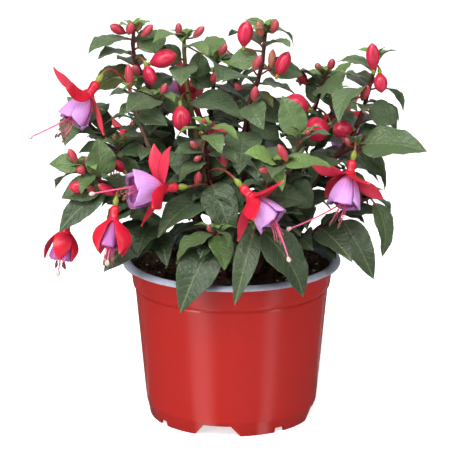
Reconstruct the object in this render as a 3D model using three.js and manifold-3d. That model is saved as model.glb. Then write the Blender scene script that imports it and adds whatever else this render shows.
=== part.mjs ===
// A fuchsia in a round plastic grower pot: thermoformed pot, filled soil, leafy stems, buds and blooms.
// Millimetres, +Z up. The origin is the centre of the pot's foot, on the surface it stands on.
// The front, seen in the usual view, faces -Y, and +X is to its right.
import * as THREE from 'three';
import Module from 'manifold-3d';

const wasm = await Module();
wasm.setup();

// Pot, in millimetres: radii and heights of its moulded profile.
const POT_SIDES = 28;
const FOOT_RADIUS = 49;
const FOOT_HEIGHT = 7.3;
const BODY_BOTTOM = 8.6;
const BODY_TOP = 79;
const BODY_RADIUS_LOW = 51;
const BODY_RADIUS_HIGH = 57.6;
const COLLAR_BOTTOM = 80.5;
const COLLAR_RADIUS_LOW = 58.7;
const COLLAR_RADIUS_HIGH = 60.2;
const LIP_RADIUS = 65;
const LIP_UNDERSIDE = 93.2;
const POT_HEIGHT = 96.6;
const WALL = 1.3;
const NOTCH_AZIMUTHS = [-10, 80, 170, 260];
const NOTCH_WIDTH = 29;
const NOTCH_TOP_WIDTH = 16;
const NOTCH_HEIGHT = 6.6;
const SLOT_AZIMUTHS = [35, 125, 215, 305];
const SLOT_WIDTH = 7;
const SLOT_HEIGHT = 3;
const DRAIN_RADIUS = 5;
const DRAIN_RING = 33;

// Soil: a filled plug that stops short of the rim, with a plain hole for each stem.
const FIT_GAP = 0.3;
const SOIL_TOP = 87;
const SOIL_SIDES = 20;
const SOIL_CLEARANCE = 1;
const STEM_SEAT = 80;
const STEM_HOLE_GAP = 0.6;

// Leaves, buds and blooms.
const BLADE = 0.8;
const BLADE_ARCH = 0.14;
const BLADE_FOLD = 0.3;
const PETIOLE = 0.1;
const LARGE_LEAF = 35;
const SAMPLE_REACH = 1.7;
const ROOT_DEPTH = 0.35;
const TIP_INSET = 0.15;
const OVARY = { pedicel: 0.75, neck: 0.95, belly: 1.75, end: 1.1, middle: 2.8, top: 5 };
const TUBE_START = 5.3;
const TUBE_END = 14;
const TUBE_RINGS = [[1.6, TUBE_START], [2.9, 7.6], [2.5, 11]];
const TUBE_MOUTH = 3.3;
const CALYX_FLOOR = 2.6;
const WIDE_OPEN = 0.6;
const SEPAL_WIDTH = 4.1;
const SEPAL_LENGTH = { wide: 24, shut: 22 };
const SEPAL_START_ANGLE = 60;
const SEPAL_FOOT = 31;
const SEPAL_STATIONS = [0.36, 0.7];
const SEPAL_EDGE_RISE = 0.8;
const SEPAL_REACH = 2.4;
const COROLLA_START = 14.3;
const COROLLA_WALL = 0.9;
const PETAL_SPAN = 74;
const PETAL_LAYER = 1.6;
const PETAL_SCALLOP = 2.2;
const STAMENS = 8;
const STAMEN_BASE_RADIUS = 1.3;
const STAMEN_SPREAD = 1.8;
const STYLE_STOPS = [[0, 0.55], [0.4, 0.55], [0.86, 0.5], [0.93, 1.4], [1, 0.6]];
const PEDICEL_BOW = { bloom: 7, bud: 5 };
const STEM_SIDES = 5;

const RED = new THREE.MeshStandardMaterial({ color: 0xd8202f, roughness: 0.45, metalness: 0 });
const MAUVE = new THREE.MeshStandardMaterial({ color: 0xcf93ea, roughness: 0.5, metalness: 0 });
const PINK = new THREE.MeshStandardMaterial({ color: 0xe0507c, roughness: 0.5, metalness: 0 });
const GREEN = new THREE.MeshStandardMaterial({ color: 0x3f6a41, roughness: 0.55, metalness: 0 });
const POT_RED = new THREE.MeshStandardMaterial({ color: 0xc02a26, roughness: 0.35, metalness: 0 });
const PEAT = new THREE.MeshStandardMaterial({ color: 0x2b1c14, roughness: 0.95, metalness: 0 });

const part = new THREE.Group();

const vec = (p) => new THREE.Vector3(p[0], p[1], p[2]);
const mix = (a, b, t) => a.clone().lerp(b, t);
const radians = (degrees) => (degrees * Math.PI) / 180;

/** A manifold solid from points and triangles (index triples). */
function solid(points, triangles) {
  const vertProperties = new Float32Array(points.flatMap((p) => [p.x, p.y, p.z]));
  const triVerts = new Uint32Array(triangles.flat());
  const made = new wasm.Manifold(new wasm.Mesh({ numProp: 3, vertProperties, triVerts }));
  if (made.volume() <= 0) throw new Error(`a body near ${points[0].toArray()} is inside out`);
  return made;
}

/** Joins solids pair by pair, so that no union gets deep. */
function join(solids) {
  let row = solids;
  while (row.length > 1) {
    const next = [];
    for (let i = 0; i < row.length; i += 2) {
      next.push(i + 1 < row.length ? row[i].add(row[i + 1]) : row[i]);
    }
    row = next;
  }
  return row[0];
}

/** Adds a solid to the part as one named mesh; a pocket closed in between crossing leaves is filled. */
function place(name, body, material) {
  const outer = body.decompose().filter((shell) => shell.volume() > 0);
  if (outer.length !== 1) throw new Error(`${name} is in ${outer.length} pieces`);
  const made = outer[0].getMesh();
  const geometry = new THREE.BufferGeometry();
  geometry.setAttribute('position', new THREE.BufferAttribute(made.vertProperties, 3));
  geometry.setIndex(new THREE.BufferAttribute(made.triVerts, 1));
  const mesh = new THREE.Mesh(geometry, material);
  mesh.name = name;
  part.add(mesh);
}

/** A closed solid through rings of points, all alike in number, with a point at each end. */
function loft(first, rings, last) {
  const n = rings[0].length;
  const points = [first, ...rings.flat(), last];
  const triangles = [];
  for (let k = 0; k < n; k++) {
    const next = (k + 1) % n;
    triangles.push([0, 1 + next, 1 + k]);
    for (let i = 0; i + 1 < rings.length; i++) {
      const a = 1 + i * n;
      triangles.push([a + k, a + next, a + n + next], [a + k, a + n + next, a + n + k]);
    }
    const end = 1 + (rings.length - 1) * n;
    triangles.push([end + k, end + next, points.length - 1]);
  }
  return solid(points, triangles);
}

/** Two unit vectors square to the axis, the first as near to the guide as it can be. */
function squareTo(axis, guide) {
  const first = guide.clone().addScaledVector(axis, -guide.dot(axis)).normalize();
  return [first, new THREE.Vector3().crossVectors(axis, first)];
}

/**
 * A round skin through stations [centre, axis, radius], each ring in line with the one before, to an
 * end point.
 */
function skin(stations, sides, end) {
  let guide = Math.abs(stations[0][1].y) < 0.8 ? new THREE.Vector3(0, 1, 0) : new THREE.Vector3(1, 0, 0);
  const rings = stations.map(([centre, axis, radius]) => {
    const [u, v] = squareTo(axis, guide);
    guide = u;
    return Array.from({ length: sides }, (_, k) => {
      const a = (2 * Math.PI * k) / sides;
      return centre.clone().addScaledVector(u, radius * Math.cos(a)).addScaledVector(v, radius * Math.sin(a));
    });
  });
  return loft(stations[0][0], rings, end);
}

/**
 * A round rod through a list of centres with a radius at each; its last face may be square to a given
 * axis.
 */
function rod(centres, radii, sides, lastAxis) {
  const last = centres.length - 1;
  const stations = centres.map((c, i) => {
    const way = centres[Math.min(i + 1, last)].clone().sub(centres[Math.max(i - 1, 0)]).normalize();
    return [c, i === last && lastAxis ? lastAxis : way, radii[i]];
  });
  return skin(stations, sides, centres[last]);
}

/** A point of a path, at a number such as 2.5, half-way from its point 2 to its point 3. */
function along(path, at) {
  const i = Math.min(Math.floor(at), path.length - 2);
  return mix(vec(path[i]), vec(path[i + 1]), at - i);
}

/** The root of what grows out of a stem: inside it, on the side that the growth leaves from. */
function rootOn(stem, where, toward) {
  const at = Math.min(where, stem.path.length - 1 - TIP_INSET);
  const centre = along(stem.path, at);
  const tangent = along(stem.path, at + 0.02).sub(along(stem.path, at - 0.02)).normalize();
  const [radial] = squareTo(tangent, toward.clone().sub(centre));
  const radius = THREE.MathUtils.lerp(stem.r[0], stem.r[1], at / (stem.path.length - 1));
  return centre.addScaledVector(radial, ROOT_DEPTH * radius);
}

// The stems: each path starts in the soil, or on the stem it branches from, and ends at its tip.
// A node of the part holds the stems, leaves, petioles and small buds that grew together.
const STEMS = {
  left: { node: 'stem_left', r: [2.3, 1.1],
    path: [[-20, -10, STEM_SEAT], [-38, -18, 112], [-52, -26, 131], [-62, -30, 141], [-75, -31, 150],
    [-88, -30, 161]] },
  left_up: { node: 'stem_left', r: [1.3, 0.9],
    path: [[-50, -25, 129], [-58, -14, 146], [-66, 0, 158], [-67, 2, 165]] },
  upper_left: { node: 'stem_upper_left', r: [2.5, 1.1],
    path: [[-10, 8, STEM_SEAT], [-18, 10, 112], [-32, 11, 146], [-43, 11, 168], [-46, 10, 182],
    [-47, 10, 193], [-52, 9, 204], [-57, 8, 214], [-58, 8, 224], [-57, 8, 235]] },
  tan: { node: 'stem_upper_left', r: [1.7, 1.0],
    path: [[-25, 10, 130], [-39, 1, 151], [-49, -6, 166], [-54, -8, 180], [-57, -9, 193],
    [-61, -9, 205]] },
  side_left: { node: 'stem_upper_left', r: [1.1, 0.9],
    path: [[-45, 10, 176], [-44, 2, 186], [-42, -4, 195]] },
  centre_left: { node: 'stem_centre_left', r: [2.4, 1.2],
    path: [[-4, 10, STEM_SEAT], [-11, 13, 118], [-19, 15, 155], [-25, 15, 188], [-27, 15, 204],
    [-28, 15, 218], [-28, 15, 227]] },
  centre: { node: 'stem_centre', r: [2.2, 1.1],
    path: [[0, 17, STEM_SEAT], [-8, 20, 128], [-13, 21, 163], [-12, 20, 186], [-10, 20, 202],
    [-9, 20, 213]] },
  front: { node: 'stem_front', r: [2.4, 1.1],
    path: [[-3, -8, STEM_SEAT], [-7, -17, 114], [-11, -23, 138], [-13, -25, 150], [-14, -26, 163],
    [-15, -26, 174], [-15, -26, 182]] },
  front_low: { node: 'stem_front', r: [1.5, 0.9],
    path: [[-6, -15, 105], [-8, -34, 113], [-10, -47, 120], [-8, -54, 127]] },
  top_right: { node: 'stem_top_right', r: [2.5, 1.1],
    path: [[5, 1, STEM_SEAT], [7, 2, 120], [8, 2, 150], [8, 2, 173], [10, 1, 189], [15, 0, 202],
    [18, 0, 214], [19, 0, 225], [20, 0, 235]] },
  right: { node: 'stem_right', r: [2.4, 1.1],
    path: [[12, -4, STEM_SEAT], [29, -6, 116], [47, -7, 142], [62, -6, 160], [71, -5, 172], [77, -5, 187],
    [80, -5, 199], [83, -5, 211], [86, -5, 220]] },
  right_side: { node: 'stem_right', r: [1.4, 1.0],
    path: [[61, -6, 159], [67, -11, 164], [73, -17, 168]] },
  back_right: { node: 'stem_back_right', r: [2.2, 1.1],
    path: [[9, 12, STEM_SEAT], [23, 18, 119], [37, 22, 149], [48, 24, 175], [53, 25, 192],
    [56, 25, 203]] },
  right_mid: { node: 'stem_back_right', r: [1.4, 0.9],
    path: [[37, 22, 149], [50, 16, 167], [61, 9, 181], [68, 5, 190]] },
  front_right: { node: 'stem_front_right', r: [2.2, 1.0],
    path: [[7, -13, STEM_SEAT], [13, -31, 118], [19, -45, 146], [24, -52, 160], [26, -55, 167]] },
  front_right_low: { node: 'stem_front_right', r: [1.4, 1.0],
    path: [[14, -33, 122], [14, -46, 129], [13, -57, 131]] },
  front_right_up: { node: 'stem_front_right', r: [1.5, 0.9],
    path: [[17, -38, 133], [30, -38, 152], [38, -35, 172], [40, -34, 178]] },
  low_right: { node: 'stem_low_right', r: [2.1, 1.0],
    path: [[16, -10, STEM_SEAT], [34, -17, 104], [51, -22, 120], [65, -25, 131], [74, -24, 136],
    [82, -21, 139]] },
  back_left: { node: 'stem_back_left', r: [2.3, 1.1],
    path: [[-8, 17, STEM_SEAT], [-26, 34, 120], [-44, 48, 150], [-53, 57, 172], [-57, 60, 188]] },
  back_left_low: { node: 'stem_back_left', r: [1.5, 1.0],
    path: [[-26, 34, 120], [-52, 44, 132], [-76, 48, 141]] },
  far_left: { node: 'stem_back_left', r: [1.6, 0.9],
    path: [[-37, 43, 139], [-56, 34, 151], [-74, 18, 163], [-84, 12, 174], [-90, 10, 181]] },
  back: { node: 'stem_back', r: [2.3, 1.1],
    path: [[1, 24, STEM_SEAT], [2, 42, 122], [3, 54, 158], [3, 60, 182], [2, 62, 198]] },
  back_low: { node: 'stem_back', r: [1.5, 1.0],
    path: [[2, 38, 112], [-3, 60, 124], [-11, 79, 131]] },
  back_far_right: { node: 'stem_back_far_right', r: [2.2, 1.1],
    path: [[11, 20, STEM_SEAT], [31, 38, 120], [51, 50, 148], [61, 56, 170], [65, 57, 186]] },
  back_right_low: { node: 'stem_back_far_right', r: [1.5, 1.0],
    path: [[31, 38, 120], [55, 42, 132], [80, 42, 142]] },
};

const FRONT = [0, -0.8, 0.6];
const UP = [0, 0, 1];

// Leaves set by hand: [where on the stem, tip, half width, which way the upper side faces, arch].
const LEAVES = {
  front_low: [[2.7, [-31, -66, 114], 9], [2.2, [-33, -77, 90], 12, FRONT],
    [3, [-9, -73, 111], 7.5, FRONT], [3, [-14, -74, 118], 4, FRONT]],
  front: [[3.6, [-34, -36, 158], 11, FRONT], [5.6, [-32, -37, 179], 4, UP, 0.2],
    [5.6, [4, -38, 178], 5, UP, 0.22], [4.5, [-5, -37, 172], 3.5],
    [2, [-44, -55, 132], 11, [0, -0.4, 0.9]], [1.5, [-38, -36, 128], 9], [3, [1, -48, 121], 10.5, FRONT]],
  front_right_low: [[1.6, [3, -78, 90], 7, FRONT], [1.9, [31, -80, 92], 12.5, FRONT],
    [1.7, [28, -73, 113], 5, FRONT]],
  front_right: [[4, [7, -66, 176], 7, [0, -0.5, 0.9]], [4, [53, -68, 171], 7, [0, -0.5, 0.9]],
    [3.8, [28, -67, 154], 4, FRONT], [1.2, [40, -51, 125], 8], [2, [41, -49, 143], 8, FRONT],
    [2.4, [2, -40, 148], 7]],
  front_right_up: [[3, [28, -30, 201], 8.5, FRONT, 0.06], [1, [46, -40, 137], 9, FRONT],
    [2.4, [54, -40, 186], 6]],
  low_right: [[5, [93, -39, 110], 10, [0.5, -0.6, 0.6], 0.2], [5, [93, -8, 125], 5],
    [2.8, [83, -42, 95], 12, FRONT], [2, [69, -61, 109], 9, FRONT], [1.4, [54, -53, 113], 9, FRONT]],
  left: [[4.1, [-78, -24, 175], 9.5, [0, -0.95, 0.2], 0.1], [5, [-105, -34, 164], 6.5, FRONT],
    [4.6, [-101, -36, 149], 6.5], [3.6, [-95, -50, 122], 9.5, FRONT], [1.6, [-73, -53, 103], 11, FRONT],
    [1.8, [-60, -48, 130], 10, FRONT], [1.3, [-38, -46, 104], 7, FRONT]],
  left_up: [[2.3, [-52, -9, 161], 8.5, [0, -0.4, 0.9]], [1, [-71, -21, 160], 6.5],
    [1.1, [-69, -27, 151], 6], [2, [-84, 8, 156], 8]],
  right_side: [[1.9, [113.4, -30, 166.4], 12, [0, -0.6, 0.8]], [1.6, [91, -7, 140], 6]],
  right: [[6.9, [62, 5, 214], 7], [6.3, [64, -8, 208], 7], [5.9, [85, -33, 180], 9.5, FRONT, 0.3],
    [6, [101, 5, 184], 6, UP, 0.25], [5.4, [100, 20, 172], 4.5], [4.4, [98, 14, 169], 9, UP, 0.2],
    [5.9, [78, 26, 196], 8]],
  side_left: [[1.9, [-32, -12, 193], 5.5, UP, 0.25], [1.6, [-65, -26, 189], 9.5, [0, -0.4, 0.9]],
    [1.2, [-24, -6, 184], 7, FRONT]],
  tan: [[2.6, [-74, -16, 182], 6, UP, 0.28], [3.6, [-36, -14, 184], 6.5, FRONT],
    [1.2, [-52, -24, 158], 8]],
  upper_left: [[6.2, [-84, 10, 192], 11, [0, -0.4, 0.9]], [8.2, [-84, -8, 228], 9],
    [7.3, [-78, -6, 217], 8], [8, [-44, 24, 220], 7], [6.4, [-66, 30, 210], 9], [5, [-34, 26, 196], 9],
    [3.4, [-62, 26, 176], 10]],
  centre_left: [[5.6, [-45, -6, 231], 6, UP, 0.2], [5.2, [-14, -4, 217], 7], [4.3, [-42, -4, 208], 8.5],
    [3, [0, -15, 186], 11, [0, -0.5, 0.9]], [2.4, [-52, -2, 174], 9]],
  centre: [[4.6, [-25, -4, 196], 10, FRONT], [4.9, [7, 14, 213], 8], [3.6, [10, 14, 181], 8],
    [4.9, [-12, 42, 216], 7]],
  top_right: [[6.8, [-13, 12, 226], 7], [6.2, [-1, -8, 213], 7, FRONT, 0.1], [7.6, [1, 6, 237], 4.5],
    [7.7, [36, 6, 223], 5, UP, 0.28], [6.9, [41, -6, 220], 7.5], [4.9, [-11, -8, 200], 8, UP, 0.2],
    [5, [34, -12, 195], 9, UP, 0.08], [5, [42, 8, 188], 8], [4.6, [25, -13, 195], 4],
    [4, [21, -22, 180], 8, FRONT], [3.2, [33, 10, 166], 9], [3, [4, -31, 155], 11, FRONT],
    [2.4, [18, -29, 150], 9, FRONT]],
  back_right: [[3.2, [69, 0, 182], 10, [0, -0.5, 0.9]], [3.2, [38, -3, 184], 8, FRONT],
    [4.2, [66, 2, 195], 11, FRONT], [4.2, [36, 18, 197], 8], [4.6, [66, 30, 191], 6],
    [4.8, [67, 20, 202], 4.5], [4, [52, 56, 196], 9]],
  right_mid: [[2.9, [57, 1, 194], 4], [2.9, [77, -2, 192], 5], [2, [74, -16, 182], 6]],
};

// Leaves set by rule, in crossed pairs up the stem as fuchsias carry them:
// [stem, first, last, pairs, length at the bottom, length at the top, heading of the first pair in degrees].
const PAIRS = [
  ['back_left', 1.1, 3.8, 5, 40, 22, 120], ['back_left_low', 0.9, 1.8, 2, 38, 28, 200],
  ['far_left', 1.2, 3.8, 4, 32, 18, 60], ['back', 1.0, 3.8, 5, 40, 22, 80],
  ['back_low', 0.9, 1.8, 2, 38, 28, 20], ['back_far_right', 1.2, 3.8, 5, 40, 22, 40],
  ['back_right_low', 0.9, 1.8, 2, 38, 28, 320], ['centre', 1.2, 3.0, 2, 38, 30, 100],
  ['back_right', 1.2, 2.6, 2, 38, 32, 60], ['upper_left', 1.3, 2.6, 2, 38, 34, 150],
  ['right', 1.3, 3.4, 2, 36, 30, 300], ['left', 1.0, 3.2, 2, 34, 26, 160],
  ['low_right', 1.2, 4.2, 2, 34, 24, 20],
];

// Blooms: where the ovary starts, which way the bloom points, the reflex of its four sepals in degrees,
// its openness, the turn of the sepals round the axis, where the pedicel leaves its stem, and the
// style's tip.
const BLOOMS = [
  { name: 'left_top', at: [-75, -18, 211], axis: [-0.54, -0.37, -0.76], reflex: [100, 75, 35, 95],
    turn: 40, open: 0.82, stem: 'tan', from: 4.8, style: [-116, -40, 179] },
  { name: 'left_mid', at: [-26, -48, 152], axis: [-0.94, -0.33, 0.04], reflex: [95, 75, 80, 100],
    turn: 10, open: 0.92, stem: 'front', from: 2.6, style: [-80, -64, 152] },
  { name: 'low_left', at: [-66, -52, 147], axis: [-0.12, -0.45, -0.885], reflex: [5, 12, 20, 8], turn: 35,
    open: 0.45, stem: 'left', from: 2.9, style: [-71, -72, 113] },
  { name: 'far_left', at: [-95, -27, 133], axis: [-0.15, -0.25, -0.95], reflex: [30, 15, 5, 12], turn: 60,
    open: 0.45, stem: 'left', from: 4.2, style: [-101, -40, 97] },
  { name: 'centre', at: [2, -62, 160], axis: [0.66, -0.35, -0.67], reflex: [85, 45, 95, 80], turn: 20,
    open: 0.82, stem: 'front', from: 3.4, style: [32, -92, 121] },
  { name: 'right', at: [71, -29, 168], axis: [-0.21, -0.42, -0.885], reflex: [90, 85, 50, 70], turn: 30,
    open: 0.86, stem: 'right_side', from: 1.5, style: [32, -63, 131] },
  { name: 'upper_back', at: [-12, 34, 198], axis: [-0.8, 0.2, -0.45], reflex: [90, 75, 80, 95], turn: 15,
    open: 0.9, stem: 'centre', from: 3.8, style: [-60, 46, 168] },
  { name: 'back_right', at: [60, 69, 178], axis: [0.38, 0.3, -0.87], reflex: [95, 80, 70, 90], turn: 80,
    open: 1, stem: 'back_far_right', from: 3.2, style: [76, 81, 130] },
  { name: 'back_left', at: [-57, 71, 166], axis: [-0.4, 0.18, -0.9], reflex: [90, 95, 75, 85], turn: 23,
    open: 1, stem: 'back_left', from: 2.8, style: [-74, 77, 118] },
  { name: 'back_low', at: [14, 78, 161], axis: [0.15, 0.16, -0.975], reflex: [10, 18, 8, 14], turn: 25,
    open: 0.5, stem: 'back', from: 2.4, style: [18, 84, 112] },
];

// Buds: [stem, where on it, foot of the bud, tip of the bud, radius]. The large ones are pieces of their own.
const BUDS = [
  ['upper_left', 8.7, [-63, 5, 231], [-71, 2, 236], 2.9],
  ['upper_left', 8.9, [-60, 3, 231], [-58, 0, 238], 2.6],
  ['upper_left', 9, [-55, 8, 232], [-53, 10, 237], 2],
  ['upper_left', 8.8, [-52, 6, 229], [-46, 4, 236], 2.5],
  ['upper_left', 6.2, [-55, -1, 208], [-57, -6, 214], 2.2],
  ['tan', 4.7, [-59, -14, 203], [-60, -15, 217], 2.6],
  ['side_left', 1.9, [-41, -7, 197], [-38, -9, 204], 2.1],
  ['left_up', 2.9, [-68, 0, 167], [-69, -2, 172], 1.9],
  ['left_up', 3, [-64, 1, 167], [-63, -1, 172], 1.9],
  ['centre_left', 5.9, [-31, 12, 228], [-31, 10, 236], 2.1],
  ['centre_left', 5.8, [-22, 12, 227], [-16, 9, 234], 2.3],
  ['centre_left', 5.4, [-17, 8, 218], [-15, 5, 222], 1.8],
  ['centre', 4.8, [-7, 14, 216], [-3, 11, 223], 2.3], ['centre', 4.2, [-11, 12, 200], [-9, 8, 207], 2.6],
  ['top_right', 7.4, [17, -4, 231], [15, -6, 240], 2.7],
  ['top_right', 7.8, [24, -3, 233], [26, -6, 241], 2.4],
  ['top_right', 5.3, [13, -8, 212], [17, -10, 221], 2.4],
  ['top_right', 5.4, [23, -6, 213], [24, -8, 224], 2.3],
  ['top_right', 4.6, [13, -9, 194], [14, -12, 203], 2.5],
  ['top_right', 4.7, [5, -6, 200], [2, -9, 204], 2.2],
  ['back_right', 4.9, [52, 20, 206], [50, 18, 210], 2],
  ['back_right', 5, [58, 20, 206], [60, 17, 213], 2.3],
  ['back_right', 4.6, [44, 26, 196], [39, 26, 204], 3],
  ['right', 5.8, [76, -12, 195], [79, -14, 204], 2.6],
  ['right_mid', 2.9, [66, 1, 192], [65, -1, 197], 1.6],
  ['front', 5.4, [-20, -31, 171], [-24, -33, 175], 2],
  ['front', 5.2, [-18, -33, 166], [-22, -35, 164], 2],
  ['front', 3.9, [-20, -37, 150], [-19, -38, 159], 2.4],
  ['front', 4.6, [-4, -30, 160], [-5, -31, 169], 2.6],
  ['front', 5.9, [-16, -28, 184], [-16, -30, 188], 1.5],
  ['front_right', 3.9, [31, -58, 170], [26, -59, 180], 2.6],
  ['front_right', 3.8, [22, -62, 166], [15, -64, 166], 2.1],
  ['front_right_up', 2.9, [43, -36, 179], [44, -38, 183], 1.8],
  ['right_side', 1.9, [68, -22, 170], [66, -23, 175], 1.8],
  ['left', 5, [-90, -32, 163], [-94, -34, 171], 2.4],
  ['left', 4.9, [-86, -36, 158], [-88, -41, 161], 2.6],
  ['left', 4.6, [-83, -32, 160], [-84, -33, 166], 2],
  ['left', 3.9, [-80, -37, 147], [-83, -40, 149], 2.3],
  ['front_low', 3, [-12, -57, 128], [-14, -58, 132], 1.4],
  ['back_left', 4, [-60, 64, 190], [-63, 67, 198], 2.5],
  ['back_left', 4, [-54, 62, 191], [-50, 62, 199], 2.4],
  ['far_left', 4, [-92, 8, 183], [-95, 6, 189], 2.2],
  ['far_left', 3.6, [-84, 16, 181], [-83, 17, 189], 2.3], ['back', 4, [-1, 66, 200], [-4, 69, 208], 2.5],
  ['back', 4, [6, 63, 200], [10, 63, 208], 2.6], ['back_low', 2, [-14, 82, 134], [-17, 86, 140], 2.4],
  ['back_far_right', 4, [66, 62, 189], [68, 65, 197], 2.5],
  ['back_far_right', 3.7, [60, 58, 190], [57, 56, 198], 2.3],
  ['back_right_low', 2, [84, 44, 144], [90, 46, 149], 2.4],
  ['back_left_low', 2, [-80, 50, 143], [-86, 52, 148], 2.4],
];
const LARGE_BUDS = {
  bud_upper_left: ['upper_left', 7, [-50, 1, 212], [-46, -2, 201], 4],
  bud_fat_left: ['upper_left', 7.2, [-47, 4, 213], [-32, 1, 219], 5.4],
  bud_hanging_left: ['centre_left', 3.3, [-30, -8, 190], [-29, -11, 175], 5.4],
  bud_club: ['top_right', 6.6, [7, -3, 225], [9, -4, 240], 4.7],
  bud_top_right: ['top_right', 6, [27, -8, 209], [33, -10, 223], 4.2],
  bud_fat_centre: ['back_right', 3.7, [44, -5, 188], [31, -10, 194], 6],
  bud_wide: ['front', 4.9, [-16, -16, 176], [-3, -20, 178], 4.6],
  bud_side_centre: ['back_right', 3.4, [56, -6, 178], [43, -12, 174], 6.6],
  bud_side_right: ['right_side', 0.8, [70, -8, 176], [59, -14, 177], 4.7],
  bud_tall_right: ['right', 7.4, [82, -12, 213], [81, -14, 229], 4],
  bud_drop_right: ['right', 7, [86, -10, 210], [87, -13, 199], 4],
  bud_low_left: ['left', 4.4, [-84, -40, 150], [-94, -42, 150], 3.6],
  bud_long_left: ['left', 3.2, [-67, -38, 145], [-77, -43, 152], 2.8],
  bud_mid_left: ['left_up', 1.4, [-63, -20, 154], [-69, -26, 162], 2.9],
};

// Everything that leaves must keep clear of: points with a reach, and the node they belong to.
const taken = [];
function keepClear(point, reach, node) {
  taken.push({ point, reach, node });
}
const OWN_NODE_SHARE = 0.7;
const OWN_NODE_START = 7;

/** The points that stand for a rod. */
function keepRodClear(centres, radius, node) {
  for (let i = 0; i + 1 < centres.length; i++) {
    const steps = Math.max(1, Math.round(centres[i].distanceTo(centres[i + 1]) / 3));
    for (let k = 0; k <= steps; k++) keepClear(mix(centres[i], centres[i + 1], k / steps), radius, node);
  }
}

/** Half width of a blade as a share of its widest: rounded near the base, drawn out to a point at the tip. */
function bladeOutline(u) {
  const q = Math.max(0, (u - PETIOLE) / (1 - PETIOLE));
  return 2.75 * Math.sqrt(q) * Math.pow(1 - q, 1.15);
}

/** The frame of a leaf: base, chord to the tip, the way its upper side faces, and its side. */
function leafFrame(base, tip, face) {
  const chord = tip.clone().sub(base);
  const axis = chord.clone().normalize();
  const [up] = squareTo(axis, face);
  return { base, chord, axis, up, side: new THREE.Vector3().crossVectors(axis, up) };
}

/**
 * A point of the blade: u from base to tip, v from -1 to 1 across, arched along and folded up from
 * the midrib.
 */
function bladePoint(frame, u, v, width, arch) {
  const half = width * bladeOutline(u);
  const wave = 0.12 * Math.sin(9 * u + (v > 0 ? 1.5 : 0));
  const lift = 4 * arch * frame.chord.length() * u * (1 - u) + half * Math.abs(v) * (BLADE_FOLD + wave);
  return frame.base.clone().addScaledVector(frame.chord, u).addScaledVector(frame.up, lift)
    .addScaledVector(frame.side, half * v);
}

/**
 * The closed solid of a leaf: a three-sided petiole that widens into a blade cut in stations, to one
 * point.
 */
function bladeSolid(frame, width, arch) {
  const stations = frame.chord.length() > LARGE_LEAF ? [0.27, 0.5, 0.78] : [0.31, 0.66];
  const { up, side } = frame;
  const neck = bladePoint(frame, PETIOLE, 0, width, arch);
  const corner = (s, t) => neck.clone().addScaledVector(side, s).addScaledVector(up, t);
  const points = [bladePoint(frame, 0, 0, width, arch), corner(0.55, 0.35), corner(0, -0.6),
    corner(-0.55, 0.35)];
  for (const u of stations) {
    for (const t of [BLADE / 2, -BLADE / 2]) {
      for (const v of [-1, 0, 1]) points.push(bladePoint(frame, u, v, width, arch).addScaledVector(up, t));
    }
  }
  points.push(bladePoint(frame, 1, 0, width, arch));
  const triangles = [[0, 2, 1], [0, 3, 2], [0, 1, 3], [1, 9, 6], [1, 2, 9], [2, 8, 9], [2, 7, 8],
    [2, 3, 7], [3, 4, 7],
    [3, 5, 4], [3, 1, 5], [1, 6, 5]];
  const bothFaces = (faces) => faces.forEach(([p, q, r]) => triangles.push([p, q, r], [r + 3, q + 3, p + 3]));
  let l = 4;
  for (; l + 6 < points.length - 1; l += 6) {
    const n = l + 6;
    bothFaces([[l, l + 1, n + 1], [l, n + 1, n], [l + 1, l + 2, n + 1], [l + 2, n + 2, n + 1]]);
    triangles.push([l + 2, l + 5, n + 5], [l + 2, n + 5, n + 2], [l + 3, l, n], [l + 3, n, n + 3]);
  }
  const tip = points.length - 1;
  triangles.push([l, l + 1, tip], [l + 1, l + 2, tip], [tip, l + 4, l + 3], [tip, l + 5, l + 4],
    [l + 2, l + 5, tip],
    [l + 3, l, tip]);
  return solid(points, triangles);
}

/** The points that stand for a blade when others are kept clear of it. */
function bladeSamples(frame, width, arch) {
  const points = [];
  for (let i = 0; i <= 8; i++) {
    for (let j = -2; j <= 2; j++) points.push(bladePoint(frame, 0.2 + 0.1 * i, j * 0.46, width, arch));
  }
  return points;
}

// How far a leaf may be bent to clear its neighbours, the first that does is taken: [turn, lift] in degrees.
const BENDS = [
  [0, 0], [8, 0], [-8, 0], [0, 8], [0, -8], [14, 6], [-14, 6], [14, -8], [-14, -8], [0, 16], [0, -16],
  [22, 0], [-22, 0], [22, 12], [-22, 12], [22, -12], [-22, -12], [0, 26], [34, 0], [-34, 0], [34, 16],
  [-34, 16], [34, -14], [-34, -14], [48, 8], [-48, 8],
];

/** The leaf's frame turned about the vertical and lifted. */
function bent(base, tip, face, turn, lift) {
  const chord = tip.clone().sub(base).applyAxisAngle(new THREE.Vector3(0, 0, 1), radians(turn));
  const flat = Math.hypot(chord.x, chord.y);
  const length = chord.length();
  const raised = Math.max(Math.min(Math.atan2(chord.z, flat) + radians(lift), 1.45), -1.45);
  const scale = (length * Math.cos(raised)) / Math.max(flat, 0.001);
  const moved = new THREE.Vector3(chord.x * scale, chord.y * scale, length * Math.sin(raised));
  const turned = face.clone().applyAxisAngle(new THREE.Vector3(0, 0, 1), radians(turn));
  return leafFrame(base, base.clone().add(moved), turned);
}

/** Whether a point is clear of the pot's rim and of the soil. */
function clearOfPot(p) {
  const r = Math.hypot(p.x, p.y);
  if (r < 55) return p.z > SOIL_TOP + 4;
  if (r < LIP_RADIUS + 2.5) return p.z > POT_HEIGHT + 2;
  return true;
}

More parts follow.
